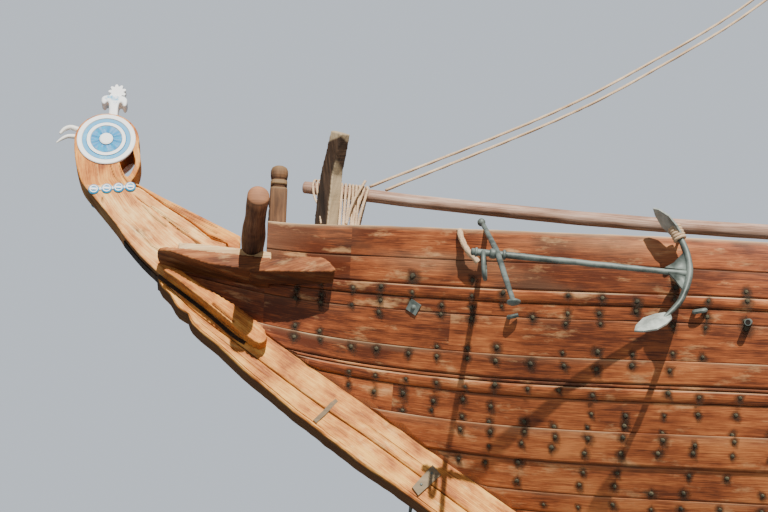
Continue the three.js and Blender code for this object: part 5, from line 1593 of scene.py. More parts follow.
deckTimber = timberMaterial("scrubbedDeck", rgb(96, 70, 48), rgb(150, 118, 86), rgb(192, 162, 126), streak=20,
                            blotch=2.2,
                            wear=rgb(214, 192, 160), wearAmount=0.40, dirt=rgb(58, 42, 30), dirtAmount=0.34,
                            rough=0.78,
                            grey=rgb(172, 158, 136))
holdTimber = timberMaterial("holdLining", rgb(58, 38, 24), rgb(104, 72, 46), rgb(146, 108, 74), streak=20,
                            blotch=2.2,
                            wear=rgb(164, 128, 92), dirt=rgb(34, 24, 16), rough=0.8, grey=rgb(140, 116, 88))
keelTimber = timberMaterial("keelTimber", rgb(50, 34, 24), rgb(98, 70, 48), rgb(142, 108, 76), source="object",
                            streak=16,
                            blotch=1.6, wear=rgb(150, 140, 112), dirt=rgb(30, 34, 26), rough=0.8, attributes=False)

def timberParts():
    return {"verts": [], "faces": [], "flat": [], "tones": [], "cavities": [], "greys": []}

def addPlank(parts, place, runs, across, depth, key, edge=0.006, limit=None, seam=0.75):
    # runs: stations along the plank; across and depth: its width and its thickness; limit clips its width at a station.
    tone = scatter(*key)
    shift = 5.3 * scatter(*key, 2)
    rings = []
    for i, u in enumerate(runs):
        a, b = across
        if limit:
            least, most = limit(u)
            a, b = max(a, least), min(b, most)
        if b - a < 0.012:
            continue
        low, high = depth
        e = min(edge, (b - a) * 0.3, (high - low) * 0.3)
        section = ((a, low + e, 1), (a + e, low, 0), (b - e, low, 0), (b, low + e, 1), (b, high - e, 1),
                   (b - e, high, 0), (a + e, high, 0), (a, high - e, 1))
        ring = []
        for v, w, side in section:
            ring.append(len(parts["verts"]))
            parts["verts"].append(Vector(place(u, v, w)))
            parts["flat"].append((u + shift, v + w))
            parts["cavities"].append(seam * side)
            parts["tones"].append(tone)
            parts["greys"].append(0.7 if i in (0, len(runs) - 1) else 0.25 * scatter(i, *key[:2]))
        rings.append(ring)
    for a, b in zip(rings, rings[1:]):
        for k in range(8):
            j = (k + 1) % 8
            parts["faces"].append((a[k], a[j], b[j], b[k]))
    if len(rings) > 1:
        parts["faces"] += [tuple(rings[0]), tuple(reversed(rings[-1]))]

def addMesh(parts, verts, faces, flat, tone=0.5, cavity=0.0, grey=0.2):
    start = len(parts["verts"])
    parts["verts"] += [Vector(v) for v in verts]
    parts["faces"] += [tuple(k + start for k in face) for face in faces]
    parts["flat"] += flat
    for key, value in (("tones", tone), ("cavities", cavity), ("greys", grey)):
        parts[key] += [value] * len(verts)

def addSweep(parts, swept, tone=0.5, grey=0.2):
    verts, faces, uvs = swept
    flat = [(0.0, 0.0)] * len(verts)
    for k, uv in zip((k for face in faces for k in face), uvs):
        flat[k] = uv
    addMesh(parts, verts, faces, flat, tone, grey=grey)

def addPrism(parts, outline, low, high, place, holes=(), tone=0.5, grey=0.1):
    verts, faces = prism(outline, low, high, holes, place)
    flat = [(p[0] + tone, p[1]) for loop in (outline, *holes) for p in loop] * 2
    addMesh(parts, verts, faces, flat, tone, 0.1, grey)

def sawnPiece(name, parts, material, body="boat", smooth=False):
    piece = newPiece(name, [tuple(v) for v in parts["verts"]], parts["faces"], [material], body, smooth)
    setUv(piece, [parts["flat"][k] for face in parts["faces"] for k in face])
    weatherAndShade(piece, parts["tones"], parts["cavities"], parts["greys"])
    turned = bmesh.new()
    turned.from_mesh(piece.data)
    bmesh.ops.recalc_face_normals(turned, faces=turned.faces)
    turned.to_mesh(piece.data)
    turned.free()
    return piece

# Small ironwork, wood patches and seizings on the bow, and dark strips under the head and stem that are painted shade
fittings = {
    "strip": [(-12.283, 5.112), (-12.082, 4.963), (-11.832, 4.77), (-11.617, 4.587), (-11.504, 4.514)],
    "headBoard": [(-12.608, 5.470), (-12.446, 5.283), (-12.279, 5.125)], "boardHigh": 0.012, "boardOut": 0.060,
    "stripHigh": 0.034, "stripOut": 0.134,
    "patch": [(-10.722, 4.045), (-10.765, 4.010), (-10.830, 3.930), (-10.905, 3.850), (-10.880, 3.825),
              (-10.800, 3.905),
              (-10.735, 3.985), (-10.700, 4.025)],
    "patchOut": 0.1315,
    "strap": [(-9.907, 3.497), (-9.841, 3.412), (-10.030, 3.233), (-10.080, 3.300)], "strapOut": 0.140,
    "strapBolts": [(-9.915, 3.425), (-10.005, 3.325)],
    "plate": (-10.141, 4.621, 0.050), "hook": (-9.40, 4.405), "staple": (-8.141, 4.190), "pipe": (-7.823, 4.064),
    "oldRope": [(-9.829, -1.27, 5.104), (-9.818, -1.31, 4.993), (-9.779, -1.33, 4.888), (-9.695, -1.31, 4.8)],
    "lashing": {"at": (-8.345, -2.15, 4.700), "turns": 5, "step": 0.022, "reach": 0.037},
}

def alongStrip(line, high):
    # The outline of a narrow strip that lies along a line in side view.
    points = [Vector(p) for p in line]
    found = [[], []]
    for i, p in enumerate(points):
        ahead = (points[min(i + 1, len(points) - 1)] - points[max(i - 1, 0)]).normalized()
        square = Vector((-ahead.y, ahead.x)) * high / 2
        found[0].append(tuple(p + square))
        found[1].append(tuple(p - square))
    return found[0] + found[1][::-1]

def makeFittings(sideName, side):
    dark, iron, rope = timberParts(), timberParts(), timberParts()

    def upright(u, v, w):
        return (u, side * w, v)
    # Two dark strips along the underside of the head and the stem: painted shade on their shaded underside edge.
    addPrism(dark, alongStrip([tuple(p)[:2] for p in smoothLine([(*p, 0) for p in fittings["strip"]], 3)],
                              fittings["stripHigh"]), 0.0, fittings["stripOut"], upright, tone=0.0, grey=0)
    addPrism(dark, alongStrip(fittings["headBoard"], fittings["boardHigh"]), 0.0, fittings["boardOut"], upright,
             tone=0.0,
             grey=0)
    for name, grey in (("patch", 0.42), ("strap", 0.62)):
        addPrism(dark, fittings[name], 0.10, fittings[name + "Out"], upright, tone=0.8, grey=grey)

    def knob(centre, normal, radius, high):
        normal = Vector(normal).normalized()
        addSweep(iron, sweep([centre - normal * 0.02, centre, centre + normal * high * 0.6], [radius, radius,
                                                                                              radius * 0.7], 10,
                             up=(0.3, 0.2, 1), dome=high * 0.4), 0.6)
    for x, z in fittings["strapBolts"]:
        knob(Vector((x, side * fittings["strapOut"], z)), (0, side, 0), 0.013, 0.008)
    x, z, half = fittings["plate"]
    normal = hullNormal(x, z, side)
    centre = onHull(x, z, side)
    right = Vector((0, 0, 1)).cross(normal).normalized()
    up = normal.cross(right)

    def onPlate(u, v, w):
        return centre + right * u + up * v + normal * w
    reach = half * math.sqrt(2)
    addPrism(iron, [(reach, 0), (0, reach), (-reach, 0), (0, -reach)], -0.02, 0.014, onPlate, tone=0.4)
    knob(centre + normal * 0.012, normal, 0.024, 0.020)
    for place, shape in (("hook", [(-0.04, 0.0), (-0.03, 0.035), (0.0, 0.045), (0.05, 0.03)]),
                         ("staple", [(-0.04, -0.02), (-0.04, 0.03), (-0.02, 0.045), (0.02, 0.045), (0.04, 0.03),
                                     (0.04, -0.02)])):
        x, z = fittings[place]
        normal = hullNormal(x, z, side)
        base = onHull(x, z, side)
        right = Vector((0, 0, 1)).cross(normal).normalized()
        route = smoothLine([base - right * side * u + normal * w for u, w in shape], 4)
        addSweep(iron, sweep(route, [0.018] * len(route), 8, up=(0.1, 0.2, 1), dome=0.004), 0.5)
    x, z = fittings["pipe"]
    normal = hullNormal(x, z, side)
    base = onHull(x, z, side)
    addSweep(iron, sweep([base - normal * 0.03, base + normal * 0.05, base + normal * 0.08], [0.026, 0.026, 0.026],
                         14,
                         up=(0.3, 0.2, 1)), 0.3)
    # A dark plug in the pipe's mouth: painted shade standing in for its bore.
    addSweep(dark, sweep([base + normal * 0.05, base + normal * 0.082], [0.019, 0.019], 12, up=(0.3, 0.2, 1)), 0.0,
             0.0)
    old = [Vector((x, -side * y, z)) for x, y, z in fittings["oldRope"]]
    addSweep(rope, laidRope(smoothLine(old, 6), 0.028, 0.016, pitch=0.08), 0.5)
    lashing = fittings["lashing"]
    x, y, z = lashing["at"]
    for k in range(lashing["turns"]):
        middle = Vector((x + 0.35 * lashing["step"] * (k - 2), -side * y, z - lashing["step"] * (k - 2)))
        ring = [middle + Vector((lashing["reach"] * cos(a), lashing["reach"] * sin(a), 0.016 * cos(a)))
                for a in (2 * pi * n / 20 for n in range(21))]
        addSweep(rope, sweep(ring, [0.013] * 21, 8), 0.4)
    tail = [Vector((x + 0.03, -side * (y + 0.03), z)), Vector((x + 0.06, -side * (y + 0.13), z + 0.02)),
            onHull(x + 0.10, z + 0.05, side)]
    addSweep(rope, laidRope(smoothLine(tail, 6), 0.013, 0.014, pitch=0.05), 0.4)
    # The dark wood piece holds the real patch and strap and the painted-shade strips and pipe plug.
    sawnPiece(f"bow_strips_{sideName}", dark, kevelTimber)
    sawnPiece(f"hull_irons_{sideName}", iron, ironMaterial)
    sawnPiece(f"bow_seizings_{sideName}", rope, ropeMaterial, smooth=True)

for sideName, side in sides:
    makeFittings(sideName, side)
print("small bow fittings built")

# Decks

deck = {
    "thick": 0.06, "gap": 0.115, "wide": 0.19, "fore": [(-11.36, 4.76), (-10.0, 4.45), (-7.5, 3.95)],
    "main": [(-7.5, 3.05), (-4.0, 2.76), (1.0, 2.50), (5.0, 2.52), (11.95, 2.90)], "breakAt": -7.5,
    "poopDrop": 0.12,
    "longest": 5.6, "hatch": {"x": -3.9, "long": 2.4, "wide": 1.9, "coaming": 0.26, "thick": 0.09, "hold": 1.5},
}
hatch = deck["hatch"]

def foreLevel(x):
    return along(deck["fore"], x)

def mainLevel(x):
    return along(deck["main"], x)

def poopLevel(x):
    return lineAt(x)["rail"] - deck["poopDrop"]

def makeDeck(name, level, first, last, seed, hole=None):
    parts = timberParts()
    wide = deck["wide"]

    def place(u, v, w):
        z = level(u) + deck["thick"]
        return u + lineAt(u)["rake"] * z, v, z + w

    def limit(u):
        half = halfAt(lineAt(u), level(u)) - deck["gap"]
        return -half, half
    most = max(limit(x)[1] for x in evenly(first, last, 0.5))
    count = math.ceil(most / wide)
    for j in range(-count, count):
        across = (j * wide, (j + 1) * wide)
        spans = [(first, last)]
        if hole and abs(sum(across) / 2) < hole["wide"] / 2:
            spans = [(first, hole["x"] - hole["long"] / 2), (hole["x"] + hole["long"] / 2, last)]
        for start, end in spans:
            x, k = start, 0
            while x < end - 0.01:
                length = deck["longest"] * (0.6 + 0.4 * scatter(j, k, seed))
                stop = end if end - x < length + 1.0 else x + length
                addPlank(parts, place, evenly(x, stop - 0.004, 0.45), across, (-0.055, 0.0), (j, k, seed),
                         limit=limit)
                x, k = stop, k + 1
    return sawnPiece(name, parts, deckTimber)

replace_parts(makeDeck("foredeck_planks", foreLevel, -10.90, deck["breakAt"] - 0.002, 31), "foredeck")
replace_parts(makeDeck("main_deck_planks", mainLevel, deck["breakAt"] + 0.04, sternStation - 0.01, 32, hole=hatch),
            "main_deck")
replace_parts(makeDeck("poop_deck_planks", poopLevel, poopBreak + 0.006, sternStation - 0.012, 33), "poop_deck")

def makeDeckBreak():
    # The step from the main deck up to the foredeck, and the beams that show under the poop deck.
    parts = timberParts()
    x = deck["breakAt"]
    half = halfAt(lineAt(x), 3.5) - 0.11
    count = math.ceil(half / 0.22)
    for j in range(-count, count):
        addPlank(parts, lambda u, v, w: (x + 0.002 + w, v, u), evenly(2.98, foreLevel(x), 0.3),
                 (j * 0.22, (j + 1) * 0.22),
                 (0.0, 0.04), (j, 1, 41), limit=lambda u: (0.11 - halfAt(lineAt(x), u), halfAt(lineAt(x),
                                                                                               u) - 0.11))
    sawnPiece("foredeck_step", parts, hullTeak)
    beams = timberParts()
    for i, x in enumerate((6.28, 7.1, 7.9, 9.0, 9.8, 10.6, 11.3)):
        top = poopLevel(x) + 0.004
        half = halfAt(lineAt(x), top - 0.06) - 0.112
        px = x + lineAt(x)["rake"] * top
        addPlank(beams, lambda u, v, w: (px + v, u, top - 0.12 + w), evenly(-half, half, 0.6), (-0.05, 0.05),
                 (0.0, 0.12),
                 (i, 3, 42), edge=0.012)
    sawnPiece("poop_beams", beams, holdTimber)

makeDeckBreak()

def makeHatch():
    lining = timberParts()
    top = mainLevel(hatch["x"])
    floorAt = top - hatch["hold"]
    longHalf, wideHalf = hatch["long"] / 2, hatch["wide"] / 2
    for i, z in enumerate(evenly(floorAt, top - 0.03, 0.2)[:-1]):
        for side in (-1, 1):
            addPlank(lining, lambda u, v, w: (u, side * (wideHalf + w), v), evenly(hatch["x"] - longHalf,
                                                                                   hatch["x"] + longHalf, 0.6),
                     (z, z + 0.183), (0.0, 0.04), (i, side, 51))
            addPlank(lining, lambda u, v, w: (hatch["x"] + side * (longHalf + w), u, v), evenly(-wideHalf, wideHalf,
                                                                                                0.6),
                     (z, z + 0.183), (0.0, 0.04), (i, side, 52))
    for j in range(10):
        addPlank(lining, lambda u, v, w: (u, v, floorAt - 0.04 + w), evenly(hatch["x"] - longHalf,
                                                                            hatch["x"] + longHalf, 0.6),
                 (-wideHalf + 0.19 * j, -wideHalf + 0.19 * (j + 1)), (0.0, 0.04), (j, 2, 53))
    sawnPiece("hold_lining", lining, holdTimber)

    frameTop = mainLevel(hatch["x"] - longHalf - hatch["thick"]) + deck["thick"] + hatch["coaming"]
    frame = timberParts()
    outerLong, outerWide = longHalf + hatch["thick"], wideHalf + hatch["thick"]
    for side in (-1, 1):
        def low(x):
            return mainLevel(x) + deck["thick"] - 0.003
        addPlank(frame, lambda u, v, w: (u, side * (wideHalf + w), low(u) + (frameTop - low(u)) * v),
                 evenly(hatch["x"] - outerLong, hatch["x"] + outerLong, 0.4), (0.0, 1.0), (0.0, hatch["thick"]),
                 (side, 5, 54), edge=0.01)
        x = hatch["x"] + side * longHalf
        addPlank(frame, lambda u, v, w: (x + side * w, u, v), evenly(-wideHalf, wideHalf, 0.4),
                 (low(x + side * 0.09) - 0.02, frameTop - 0.002), (0.0, hatch["thick"]), (side, 6, 54), edge=0.01)
    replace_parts(sawnPiece("hatch_frame", frame, hullTeak), "hatch_coaming")

    cover = timberParts()
    low = frameTop + 0.001
    boards = 9
    wide = (2 * outerLong + 0.04) / boards
    for i in range(boards):
        start = hatch["x"] - outerLong - 0.02 + wide * i
        addPlank(cover, lambda u, v, w: (v, u, low + w), evenly(-outerWide - 0.02, outerWide + 0.02, 0.5),
                 (start + 0.001, start + wide - 0.001), (0.0, 0.042), (i, 7, 55))
    for y in (-0.62, 0.62):
        addPlank(cover, lambda u, v, w: (u, v, low + 0.042 + w), evenly(hatch["x"] - outerLong,
                                                                        hatch["x"] + outerLong, 0.6),
                 (y - 0.06, y + 0.06), (0.0, 0.027), (round(y * 10), 8, 55))
    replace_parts(sawnPiece("hatch_boards", cover, deckTimber, "hatch_cover"), "hatch_cover")

makeHatch()
print("decks and hatch built")

# Deck fittings: capstan, water tank, ladder, crutch and the hook timber in the bow

capstan = {
    "x": -8.7, "rows": [(0.0, 0.083), (0.208, 0.083), (0.212, 0.10), (0.208, 0.145), (0.180, 0.165), (0.155, 0.20),
                        (0.140, 0.34), (0.137, 0.50), (0.142, 0.57), (0.170, 0.602), (0.188, 0.622), (0.190, 0.64),
                        (0.188, 0.66), (0.194, 0.68), (0.200, 0.72), (0.200, 0.765), (0.186, 0.80), (0.150, 0.818),
                        (0.0, 0.82)],
}

def makeCapstan():
    x = capstan["x"]
    base = foreLevel(x - 0.32) + deck["thick"] + 0.0006
    step = timberParts()
    for j in range(4):
        addPlank(step, lambda u, v, w: (u, v, (base + 0.08) * w + (foreLevel(u) + deck["thick"] - 0.002) * (1 - w)),
                 evenly(x - 0.32, x + 0.32, 0.2), (-0.32 + 0.16 * j, -0.16 + 0.16 * j), (0.0, 1.0), (j, 1, 61),
                 edge=0.008)
    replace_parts(sawnPiece("capstan_bed", step, darkTimber), "capstan_step")
    parts = timberParts()
    verts, faces, _ = turnedMesh([(*row, 0) for row in capstan["rows"]],
                                 lambda r, a, h: Vector((x + r * cos(a), r * sin(a), base + h)), 24)
    addMesh(parts, verts, faces, [(v.z, 0.3 * math.atan2(v.y, v.x - x)) for v in verts])
    # Two bands under the flares are darkened: painted shade in the inner corners.
    parts["cavities"] = [0.5 if abs(v.z - base - 0.155) < 0.03 or abs(v.z - base - 0.6) < 0.02 else 0.0 for v in verts]
    parts["greys"] = [0.5 if v.z > base + 0.7 else 0.15 for v in verts]
    for k in range(6):
        a = pi * k / 3
        out = Vector((cos(a), sin(a), 0))
        turn = Vector((-sin(a), cos(a), 0))
        centre = Vector((x, 0, base))
        addPlank(parts, lambda u, v, w: centre + turn * v + Vector((0, 0,
                                                                    u)) + out * (w + 0.03 * abs(u - 0.38) / 0.2),
                 evenly(0.19, 0.585, 0.1), (-0.022, 0.022), (0.12, 0.165), (k, 2, 61), edge=0.008)
    piece = sawnPiece("capstan_barrel", parts, stemTimber, "capstan", smooth=True)
    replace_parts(piece, "capstan")
    sockets = timberParts()
    for k in range(6):
        a = pi * (k + 0.5) / 3
        out = Vector((cos(a), sin(a), 0))
        turn = Vector((-sin(a), cos(a), 0))
        addPlank(sockets, lambda u, v, w: Vector((x, 0, base)) + turn * v + Vector((0, 0, w)) + out * u,
                 (0.14, 0.202), (-0.028, 0.028), (0.715, 0.77), (k, 3, 61), edge=0.003, seam=0.0)
    sawnPiece("capstan_sockets", sockets, nailMaterial, "capstan")

tank = {"x": 3.5, "long": 1.3, "wide": 1.15, "high": 0.95}

def makeTank():
    x, longHalf, wideHalf, high = tank["x"], tank["long"] / 2, tank["wide"] / 2, tank["high"]
    base = mainLevel(x + longHalf) + deck["thick"] + 0.0006
    parts = timberParts()
    for i in range(8):
        wide = tank["long"] / 8
        for side in (-1, 1):
            addPlank(parts, lambda u, v, w: (v, side * (wideHalf - 0.04 + w), base + u), evenly(0, high - 0.04,
                                                                                                0.3),
                     (x - longHalf + wide * i, x - longHalf + wide * (i + 1)), (0.0, 0.04), (i, side, 62))
    for i in range(7):
        wide = (tank["wide"] - 0.08) / 7
        for side in (-1, 1):
            addPlank(parts, lambda u, v, w: (x + side * (longHalf - 0.04 + w), v, base + u), evenly(0, high - 0.04,
                                                                                                    0.3),
                     (-wideHalf + 0.04 + wide * i, -wideHalf + 0.04 + wide * (i + 1)), (0.0, 0.04), (i, side, 63))
    for i in range(6):
        wide = tank["wide"] / 6
        addPlank(parts, lambda u, v, w: (u, v, base + high - 0.042 + w), evenly(x - longHalf, x + longHalf, 0.4),
                 (-wideHalf + wide * i, -wideHalf + wide * (i + 1)), (0.0, 0.042), (i, 3, 64))
    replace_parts(sawnPiece("tank_boards", parts, hullTeak), "water_tank")
    bands = timberParts()
    for z in (0.16, 0.70):
        ring = ((x - longHalf, -wideHalf), (x + longHalf, -wideHalf), (x + longHalf, wideHalf),
                (x - longHalf, wideHalf))
        for a, b in zip(ring, ring[1:] + ring[:1]):
            a, b = Vector((*a, base + z)), Vector((*b, base + z))
            ahead = (b - a).normalized()
            out = ahead.cross(Vector((0, 0, 1)))
            addPlank(bands, lambda u, v, w: a + ahead * u + out * w + Vector((0, 0, v)),
                     (-0.004, (b - a).length + 0.004),
                     (0.0, 0.045), (-0.002, 0.005), (1, 2, 65), edge=0.002, seam=0.0)
    sawnPiece("tank_bands", bands, ironMaterial)

def makeLadder():
    parts = timberParts()
    foot = Vector((5.80, 0, mainLevel(5.8) + deck["thick"] + 0.001))
    top = Vector((6.33, 0, poopLevel(6.25) + 0.25))
    ahead = (top - foot).normalized()
    lift = Vector((0, 1, 0)).cross(ahead)
    for side in (-1, 1):
        addPlank(parts, lambda u, v, w: foot + ahead * u + lift * v + Vector((0, side * 0.27 + w, 0)),
                 evenly(0.0, (top - foot).length, 0.3), (-0.052, 0.052), (-0.024, 0.024), (side, 1, 66), edge=0.008)
    for k in range(5):
        share = 0.15 + 0.65 * k / 4
        place = foot + (top - foot) * share
        addPlank(parts, lambda u, v, w: place + Vector((v, u, w)), evenly(-0.27, 0.27, 0.2), (-0.075, 0.075),
                 (-0.02, 0.02), (k, 2, 66), edge=0.008)
    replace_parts(sawnPiece("poop_ladder", parts, stemTimber), "ladder")

def makeCrutch():
    x, y, z = -5.2, -2.528, 4.53
    low = mainLevel(x) + deck["thick"] - 0.004
    cup = discArc((y, z), 0.086, 155, 385, 14)
    outline = [(y - 0.13, low), (y - 0.13, z + 0.038), *cup, (y + 0.13, z + 0.038), (y + 0.13, low)]
    solid = prism(outline, x - 0.055, x + 0.055, place=lambda u, v, w: (w, u, v))
    piece = carvedPiece("boom_crutch_post", solid, [(x, low), (x, z)], darkTimber, voxel=0.012,
                        rounds=2)
    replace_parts(piece, "boom_crutch")

def makeHookTimber():
    parts = timberParts()
    for j in range(-3, 3):
        addPlank(parts, lambda u, v, w: (u, v, 5.33 + w), evenly(-11.34, -10.96, 0.1), (j * 0.18, (j + 1) * 0.18),
                 (0.0, 0.13), (j, 1, 67), edge=0.008,
                 limit=lambda u: (0.112 - halfAt(lineAt(u), 5.33), halfAt(lineAt(u), 5.33) - 0.112))
    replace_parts(sawnPiece("bow_hook_timber", parts, darkTimber), "breasthook")

makeCapstan()
makeTank()
makeLadder()
makeCrutch()
makeHookTimber()
print("deck fittings built")

# Stern: quarter walls, rails, bulkhead, transom, sternpost and rudder

def hullPlace(side, level):
    return lambda u, v, w: onHull(u, level(u) + v, side, w)

def railAt(x):
    return lineAt(x)["rail"]

quarter = {"strakes": [(0.002, 0.158, 0.0), (0.161, 0.322, 0.003), (0.325, 0.492, 0.0)], "cap": (0.495, 0.56),
           "railHigh": 0.43, "railRun": (6.5, 11.7), "posts": 7}

def makeQuarter(sideName, side):
    parts = timberParts()
    for i, (low, high, proud) in enumerate(quarter["strakes"]):
        x, k = poopBreak + 0.002, 0
        while x < sternStation - 0.02:
            length = 2.4 + 1.6 * scatter(i, k, side, 7)
            stop = sternStation - 0.004 if sternStation - x < length + 0.8 else x + length
            addPlank(parts, hullPlace(side, railAt), evenly(x, stop - 0.003, 0.3), (low, high), (-0.10, proud),
                     (i, k, 70 + side))
            x, k = stop, k + 1
    addPlank(parts, hullPlace(side, railAt), evenly(poopBreak + 0.002, sternStation - 0.004, 0.3), quarter["cap"],
             (-0.113, 0.014), (9, side, 71), edge=0.012)
    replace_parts(sawnPiece(f"quarter_planks_{sideName}", parts, hullTeak), f"quarter_side_{sideName}")
    rails = timberParts()
    top = quarterRise + quarter["railHigh"]
    addPlank(rails, lambda u, v, w: onHull(u, railAt(u) + top + w, side, v - 0.032), evenly(*quarter["railRun"],
                                                                                            0.3),
             (-0.03, 0.03), (0.0, 0.06), (3, side, 72), edge=0.014)
    for k in range(quarter["posts"]):
        x = 6.56 + (11.64 - 6.56) * k / (quarter["posts"] - 1)
        low = onHull(x, railAt(x) + quarterRise - 0.01, side, -0.032)
        high = onHull(x, railAt(x) + top + 0.03, side, -0.032)
        shape = [(0, 0.028), (0.12, 0.028), (0.14, 0.018), (0.18, 0.016), (0.30, 0.027), (0.40, 0.029),
                 (0.52, 0.020),
                 (0.70, 0.015), (0.78, 0.017), (0.80, 0.026), (0.86, 0.026), (0.88, 0.018), (1.0, 0.024)]
        route = [low + (high - low) * share for share, _ in shape]
        addSweep(rails, sweep(route, [radius for _, radius in shape], 12, up=(1, 0, 0)), tone=scatter(k, side))
    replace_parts(sawnPiece(f"quarter_rail_{sideName}", rails, stemTimber), f"poop_rail_{sideName}")

bulkheadPlan = {"x": 6.46, "thick": 0.06, "doors": (-1.1, 1.1), "doorWide": 0.72, "doorHigh": 1.02, "plank": 0.20}

def makeBulkhead():
    plan = bulkheadPlan
    x = plan["x"]
    bottom = mainLevel(x) + deck["thick"] + 0.001
    top = poopLevel(6.2) - 0.002
    parts = timberParts()

    def limit(u):
        half = halfAt(lineAt(6.3), u) - 0.114
        return -half, half
    edges = [-3.4]
    while edges[-1] < 3.4:
        edges.append(edges[-1] + plan["plank"])
    for door in plan["doors"]:
        edges += [door - plan["doorWide"] / 2, door + plan["doorWide"] / 2]
    edges = sorted(set(round(edge, 4) for edge in edges))
    for i, (a, b) in enumerate(zip(edges, edges[1:])):
        over = any(abs((a + b) / 2 - door) < plan["doorWide"] / 2 for door in plan["doors"])
        low = bottom + plan["doorHigh"] if over else bottom
        addPlank(parts, lambda u, v, w: (x + w, v, u), evenly(low, top, 0.3), (a, b), (-0.028, 0.028), (i, 1, 73),
                 limit=limit)
    for door in plan["doors"]:
        for side in (-1, 1):
            y = door + side * (plan["doorWide"] / 2 + 0.03)
            addPlank(parts, lambda u, v, w: (x + w, y + v, u), evenly(bottom, bottom + plan["doorHigh"] + 0.06,
                                                                      0.4),
                     (-0.032, 0.032), (-0.045, 0.045), (side, 2, 73), edge=0.01)
        addPlank(parts, lambda u, v, w: (x + w, door + u, bottom + plan["doorHigh"] + v), (-0.44, 0.0, 0.44),
                 (0.0, 0.07),
                 (-0.05, 0.05), (3, round(door), 73), edge=0.012)
    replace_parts(sawnPiece("cabin_front", parts, hullTeak), "poop_bulkhead")

transom = {
    "low": 1.29, "thick": 0.10, "rows": [1.29, 1.50, 1.72, 1.95, 2.18, 2.41, 2.64, 2.87, 3.10, 3.33, 3.565, 3.80,
                                         4.00, 4.235,
                                         4.44, 4.66, 4.88, 5.10, 5.32, 5.54, 5.76, 5.98, 6.18],
    "windows": (-1.35, -0.68, 0.0, 0.68, 1.35), "windowAt": 3.90, "wide": 0.38, "high": 0.56, "frame": (0.25,
                                                                                                        0.335),
    "crown": [(-2.25, 6.18), (-1.98, 6.25), (-1.70, 6.33), (-1.40, 6.42), (-1.10, 6.48), (-0.6, 6.535), (0.0, 6.56),
              (0.6, 6.535), (1.10, 6.48), (1.40, 6.42), (1.70, 6.33), (1.98, 6.25), (2.25, 6.18)],
    "mouldings": [(3.42, 0.030), (4.36, 0.030), (5.62, 0.036)],
}

def sternPlace(u, v, w):
    return sternStation + sternRake * v + w, u, v

def makeTransom():
    line = lineAt(sternStation)
    parts = timberParts()

    def edgeAt(z):
        return max(halfAt(line, z), stemHalf) - 0.002
    frameHalf, frameHigh = transom["frame"]
    for i, (low, high) in enumerate(zip(transom["rows"], transom["rows"][1:])):
        if abs((low + high) / 2 - transom["windowAt"]) < frameHigh:
            cuts = [-1.0, *[y + side * frameHalf for y in transom["windows"] for side in (-1, 1)], 1.0]
        else:
            seamAt = 0.9 * (scatter(i, 4, 74) - 0.5)
            cuts = [-1.0, seamAt, seamAt, 1.0]
        for k in range(0, len(cuts), 2):
            def across(s, v, first=cuts[k], last=cuts[k + 1]):
                start = -edgeAt(v) if first == -1.0 else first
                end = edgeAt(v) if last == 1.0 else last
                return start + (end - start) * s
            spanRuns = evenly(0, 1, 0.2)
            addPlank(parts, lambda u, v, w: sternPlace(across(u, v), v, w), spanRuns, (low, high), (0.003, 0.10),
                     (i, k, 74), edge=0.005)
    for y in transom["windows"]:
        z, half = transom["windowAt"], transom["wide"] / 2
        rim = [(y - frameHalf, z - frameHigh), (y + frameHalf, z - frameHigh), (y + frameHalf, z + frameHigh),
               (y - frameHalf, z + frameHigh)]
        hole = [(y - half, z - transom["high"] / 2), (y + half, z - transom["high"] / 2),
                *discArc((y, z + transom["high"] / 2 - half), half, 0, 180, 12)]
        addPrism(parts, rim, -0.008, 0.122, sternPlace, holes=(hole,), tone=scatter(round(y * 10), 3))
        arch = [sternPlace(u, v, 0.124) for u, v in discArc((y, z + transom["high"] / 2 - half), half + 0.03, -12,
                                                            192, 18)]
        addSweep(parts, sweep(arch, [0.018] * len(arch), 8, up=(1, 0, 0)), tone=0.7)
        sill = [sternPlace(y + s * 0.25, z - transom["high"] / 2 - 0.02, 0.12) for s in (-1, -0.33, 0.33, 1)]
        addSweep(parts, sweep(sill, [0.026] * 4, 8, up=(1, 0, 0)), tone=0.6)
    crown = transom["crown"]
    addPrism(parts, [(-2.25, 6.182), *crown[1:-1], (2.25, 6.182)], 0.0, 0.105, sternPlace, tone=0.35)
    top = [sternPlace(u, v - 0.012, 0.052) for u, v in crown]
    addSweep(parts, sweep(smoothLine(top, 3), [0.055] * (3 * (len(top) - 1) + 1), 10, up=(1, 0, 0)), tone=0.6,
             grey=0.6)
    for z, radius in transom["mouldings"]:
        half = edgeAt(z) + 0.01
        run = [sternPlace(-half + 2 * half * k / 12, z, 0.105) for k in range(13)]
        addSweep(parts, sweep(run, [radius] * 13, 10, up=(1, 0, 0)), tone=0.7, grey=0.3)
    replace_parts(sawnPiece("transom_boards", parts, stemTimber), "transom")
    # Carved and painted band above the windows: a running row of rosettes
    band = timberParts()
    for k in range(15):
        y = -1.96 + 0.28 * k
        for radius, high in ((0.105, 0.118), (0.070, 0.128), (0.030, 0.140)):
            addPrism(band, discArc((y, 4.99), radius, 0, 337.5, 15), 0.09, high, sternPlace, tone=radius * 5)
    carved = sawnPiece("transom_rosettes", band, whitePaint)
    carved.data.materials.append(bluePaint)
    for k, polygon in enumerate(carved.data.polygons):
        centre = polygon.center
        y = (centre.y + 1.96 + 0.14) % 0.28 - 0.14
        polygon.material_index = 1 if 0.034 < hypot(y, centre.z - 4.99) < 0.064 else 0

sternGear = {"heights": (-1.3, 0.9, 3.3), "offset": 0.47, "post": 0.35, "postTop": 5.95,
             "blade": [(-2.05, 0.06), (-1.95, 1.45), (-1.3, 1.48), (0.0, 1.18), (1.5, 0.82), (3.0, 0.52),
                       (5.4, 0.42), (7.35, 0.40)]}
sternLean = math.atan(sternRake)

